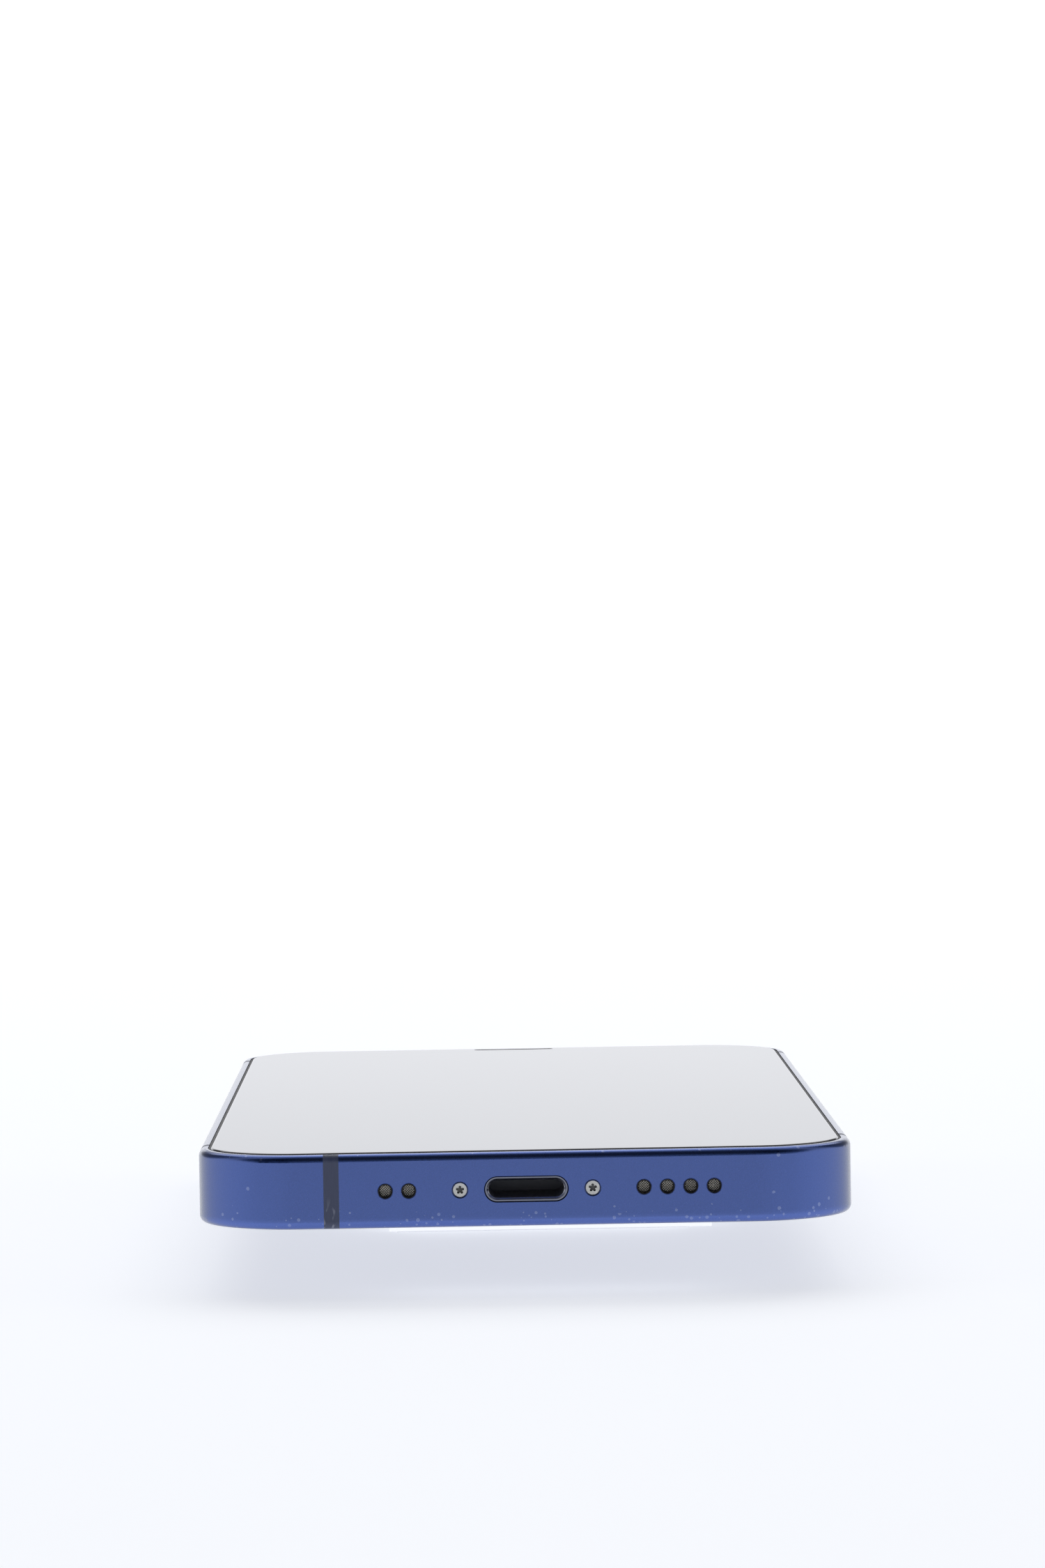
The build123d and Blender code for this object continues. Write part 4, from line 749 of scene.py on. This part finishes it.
sound_meshes()
shaded_hole_liners()
earpiece_grille()
lens_elements()
haptic_leaves()


# ------------------------------------------------------------------ stage, light and camera
FLOOR_Z = -5.4 * MM
FLOOR_SIZE = 2.4
FLOOR_T = 0.02
PAD_X = (-13.4 * MM, 18.1 * MM)
PAD_Y = (-61.0 * MM, -59.5 * MM)
PAD_T = 0.7 * MM
PAD_GAP = 0.12 * MM  # from the pad's top to the band's lower face
PROP_Y = (-5.0 * MM, 25.0 * MM)


def pale_stage(name, albedo, glow):
    """A pale matte surface that glows a little, like a lit translucent table."""
    s = Shader(name)
    paper = s.noise(2500.0, 2.0)
    s.set(
        Base_Color=s.mix(paper, tuple(a * 0.98 for a in albedo), albedo),
        Roughness=0.9,
        Specular_IOR_Level=0.1,
        Emission_Color=(0.93, 0.95, 1.0),
        Emission_Strength=glow,
    )
    return s.material


def block(name, low, high, material):
    """A stage block between two corners."""
    mesh = bpy.data.meshes.new(name)
    made = bmesh.new()
    bmesh.ops.create_cube(made, size=1.0)
    made.to_mesh(mesh)
    made.free()
    size = Vector(high) - Vector(low)
    mesh.transform(Matrix.Translation((Vector(low) + Vector(high)) / 2) @ Matrix.Diagonal((*size, 1)))
    mesh.materials.append(material)
    obj = bpy.data.objects.new(name, mesh)
    bpy.context.scene.collection.objects.link(obj)
    return obj


def stage():
    """A wide pale floor, with a thin white pad near the port end and a prop further back."""
    half = FLOOR_SIZE / 2
    floor = pale_stage("floor_white", (0.60, 0.61, 0.62), 0.67)
    block("floor", (-half, -half, FLOOR_Z - FLOOR_T), (half, half, FLOOR_Z), floor)
    top = BAND_LOW - PAD_GAP
    pad = pale_stage("pad_white", (0.90, 0.90, 0.90), 0.55)
    block("pad", (PAD_X[0], PAD_Y[0], top - PAD_T), (PAD_X[1], PAD_Y[1], top), pad)
    prop = pale_stage("prop_white", (0.70, 0.71, 0.73), 0.35)
    block("prop", (PAD_X[0], PROP_Y[0], FLOOR_Z), (PAD_X[1], PROP_Y[1], top), prop)


DARK_TILT = 42  # degrees above the horizon, in front: the middle of the dark patch
DARK_OUTER = 52  # degrees from that middle, where the dark patch starts
DARK_INNER = 34  # degrees from that middle, where it is darkest
SURROUND_BRIGHT = 1.27
SURROUND_DARK = 0.12
CORNER_TURN = 42  # degrees to each side, in front and behind: four smaller dark patches
CORNER_TILT = 32  # degrees above the horizon
CORNER_OUTER = 34
CORNER_INNER = 24
CORNER_SHARE = 0.15
SIDE_SHARE = 0.80  # brightness out to the sides
HIGH_SHARE = 0.50  # brightness high up
HIGH_START = 9  # degrees above the horizon
HIGH_END = 42


def world():
    """A bright white surround, dimmer high up, with a dark patch in front and one towards each corner."""
    made = bpy.data.worlds.new("studio")
    made.use_nodes = True
    bpy.context.scene.world = made
    tree = made.node_tree
    background = tree.nodes["Background"]
    where = tree.nodes.new("ShaderNodeTexCoord").outputs["Generated"]

    def ramp(value, low, high, out_low, out_high):
        """Map a value smoothly from one range to another."""
        scale = tree.nodes.new("ShaderNodeMapRange")
        scale.interpolation_type = "SMOOTHSTEP"
        tree.links.new(value, scale.inputs["Value"])
        scale.inputs["From Min"].default_value = low
        scale.inputs["From Max"].default_value = high
        scale.inputs["To Min"].default_value = out_low
        scale.inputs["To Max"].default_value = out_high
        return scale.outputs[0]

    def multiply(first, second):
        """The product of two values."""
        product = tree.nodes.new("ShaderNodeMath")
        product.operation = "MULTIPLY"
        tree.links.new(first, product.inputs[0])
        tree.links.new(second, product.inputs[1])
        return product.outputs[0]

    def patch(direction, axis, outer, inner, bright, dark):
        """Brightness that falls from one level to another, near an axis."""
        near = tree.nodes.new("ShaderNodeVectorMath")
        near.operation = "DOT_PRODUCT"
        tree.links.new(direction, near.inputs[0])
        near.inputs[1].default_value = axis
        low, high = math.cos(math.radians(outer)), math.cos(math.radians(inner))
        return ramp(near.outputs["Value"], low, high, bright, dark)

    tilt = math.radians(DARK_TILT)
    front = (0, -math.cos(tilt), math.sin(tilt))
    shade = patch(where, front, DARK_OUTER, DARK_INNER, SURROUND_BRIGHT, SURROUND_DARK)

    folded = tree.nodes.new("ShaderNodeVectorMath")
    folded.operation = "ABSOLUTE"
    tree.links.new(where, folded.inputs[0])
    turn, tilt = math.radians(CORNER_TURN), math.radians(CORNER_TILT)
    corner = (math.sin(turn) * math.cos(tilt), math.cos(turn) * math.cos(tilt), math.sin(tilt))
    corners = patch(folded.outputs[0], corner, CORNER_OUTER, CORNER_INNER, 1.0, CORNER_SHARE)

    split = tree.nodes.new("ShaderNodeSeparateXYZ")
    tree.links.new(where, split.inputs[0])
    aside = tree.nodes.new("ShaderNodeMath")
    aside.operation = "ABSOLUTE"
    tree.links.new(split.outputs[0], aside.inputs[0])
    sides = ramp(aside.outputs[0], 0.35, 0.95, 1.0, SIDE_SHARE)
    low, high = math.sin(math.radians(HIGH_START)), math.sin(math.radians(HIGH_END))
    height = ramp(split.outputs[2], low, high, 1.0, HIGH_SHARE)
    total = multiply(multiply(multiply(shade, sides), height), corners)
    tree.links.new(total, background.inputs["Strength"])
    background.inputs["Color"].default_value = (0.945, 0.958, 1.0, 1)


def softbox(name, place, target, size, power):
    """A soft rectangular light aimed at a point."""
    lamp = bpy.data.lights.new(name, "AREA")
    lamp.shape = "RECTANGLE"
    lamp.size, lamp.size_y = size
    lamp.energy = power
    obj = bpy.data.objects.new(name, lamp)
    obj.location = place
    obj.rotation_mode = "QUATERNION"
    obj.rotation_quaternion = (Vector(target) - Vector(place)).to_track_quat("-Z", "Y")
    bpy.context.scene.collection.objects.link(obj)


CAMERA_PLACE = (-0.005339, -0.604143, 0.060014)
CAMERA_RIGHT = Vector((0.9998008, -0.0109153, -0.0167100))
CAMERA_UP = Vector((0.0170184, 0.0288020, 0.9994403))
CAMERA_LENS = 128.07  # mm, on a sensor 36 mm wide


def camera():
    """The view from just above the port end, with a long lens."""
    data = bpy.data.cameras.new("camera")
    data.sensor_width = 36.0
    data.lens = CAMERA_LENS
    data.clip_start, data.clip_end = 0.02, 50.0
    obj = bpy.data.objects.new("camera", data)
    back = CAMERA_RIGHT.cross(CAMERA_UP).normalized()
    turn = Matrix((CAMERA_RIGHT, CAMERA_UP, back)).transposed().to_4x4()
    obj.matrix_world = Matrix.Translation(CAMERA_PLACE) @ turn
    bpy.context.scene.collection.objects.link(obj)
    bpy.context.scene.camera = obj


stage()
world()
softbox("back_softbox", (0.0, 1.3, 1.6), (0, 0, 0), (2.6, 1.6), 19.0)
camera()
bpy.context.scene.view_settings.view_transform = "Standard"
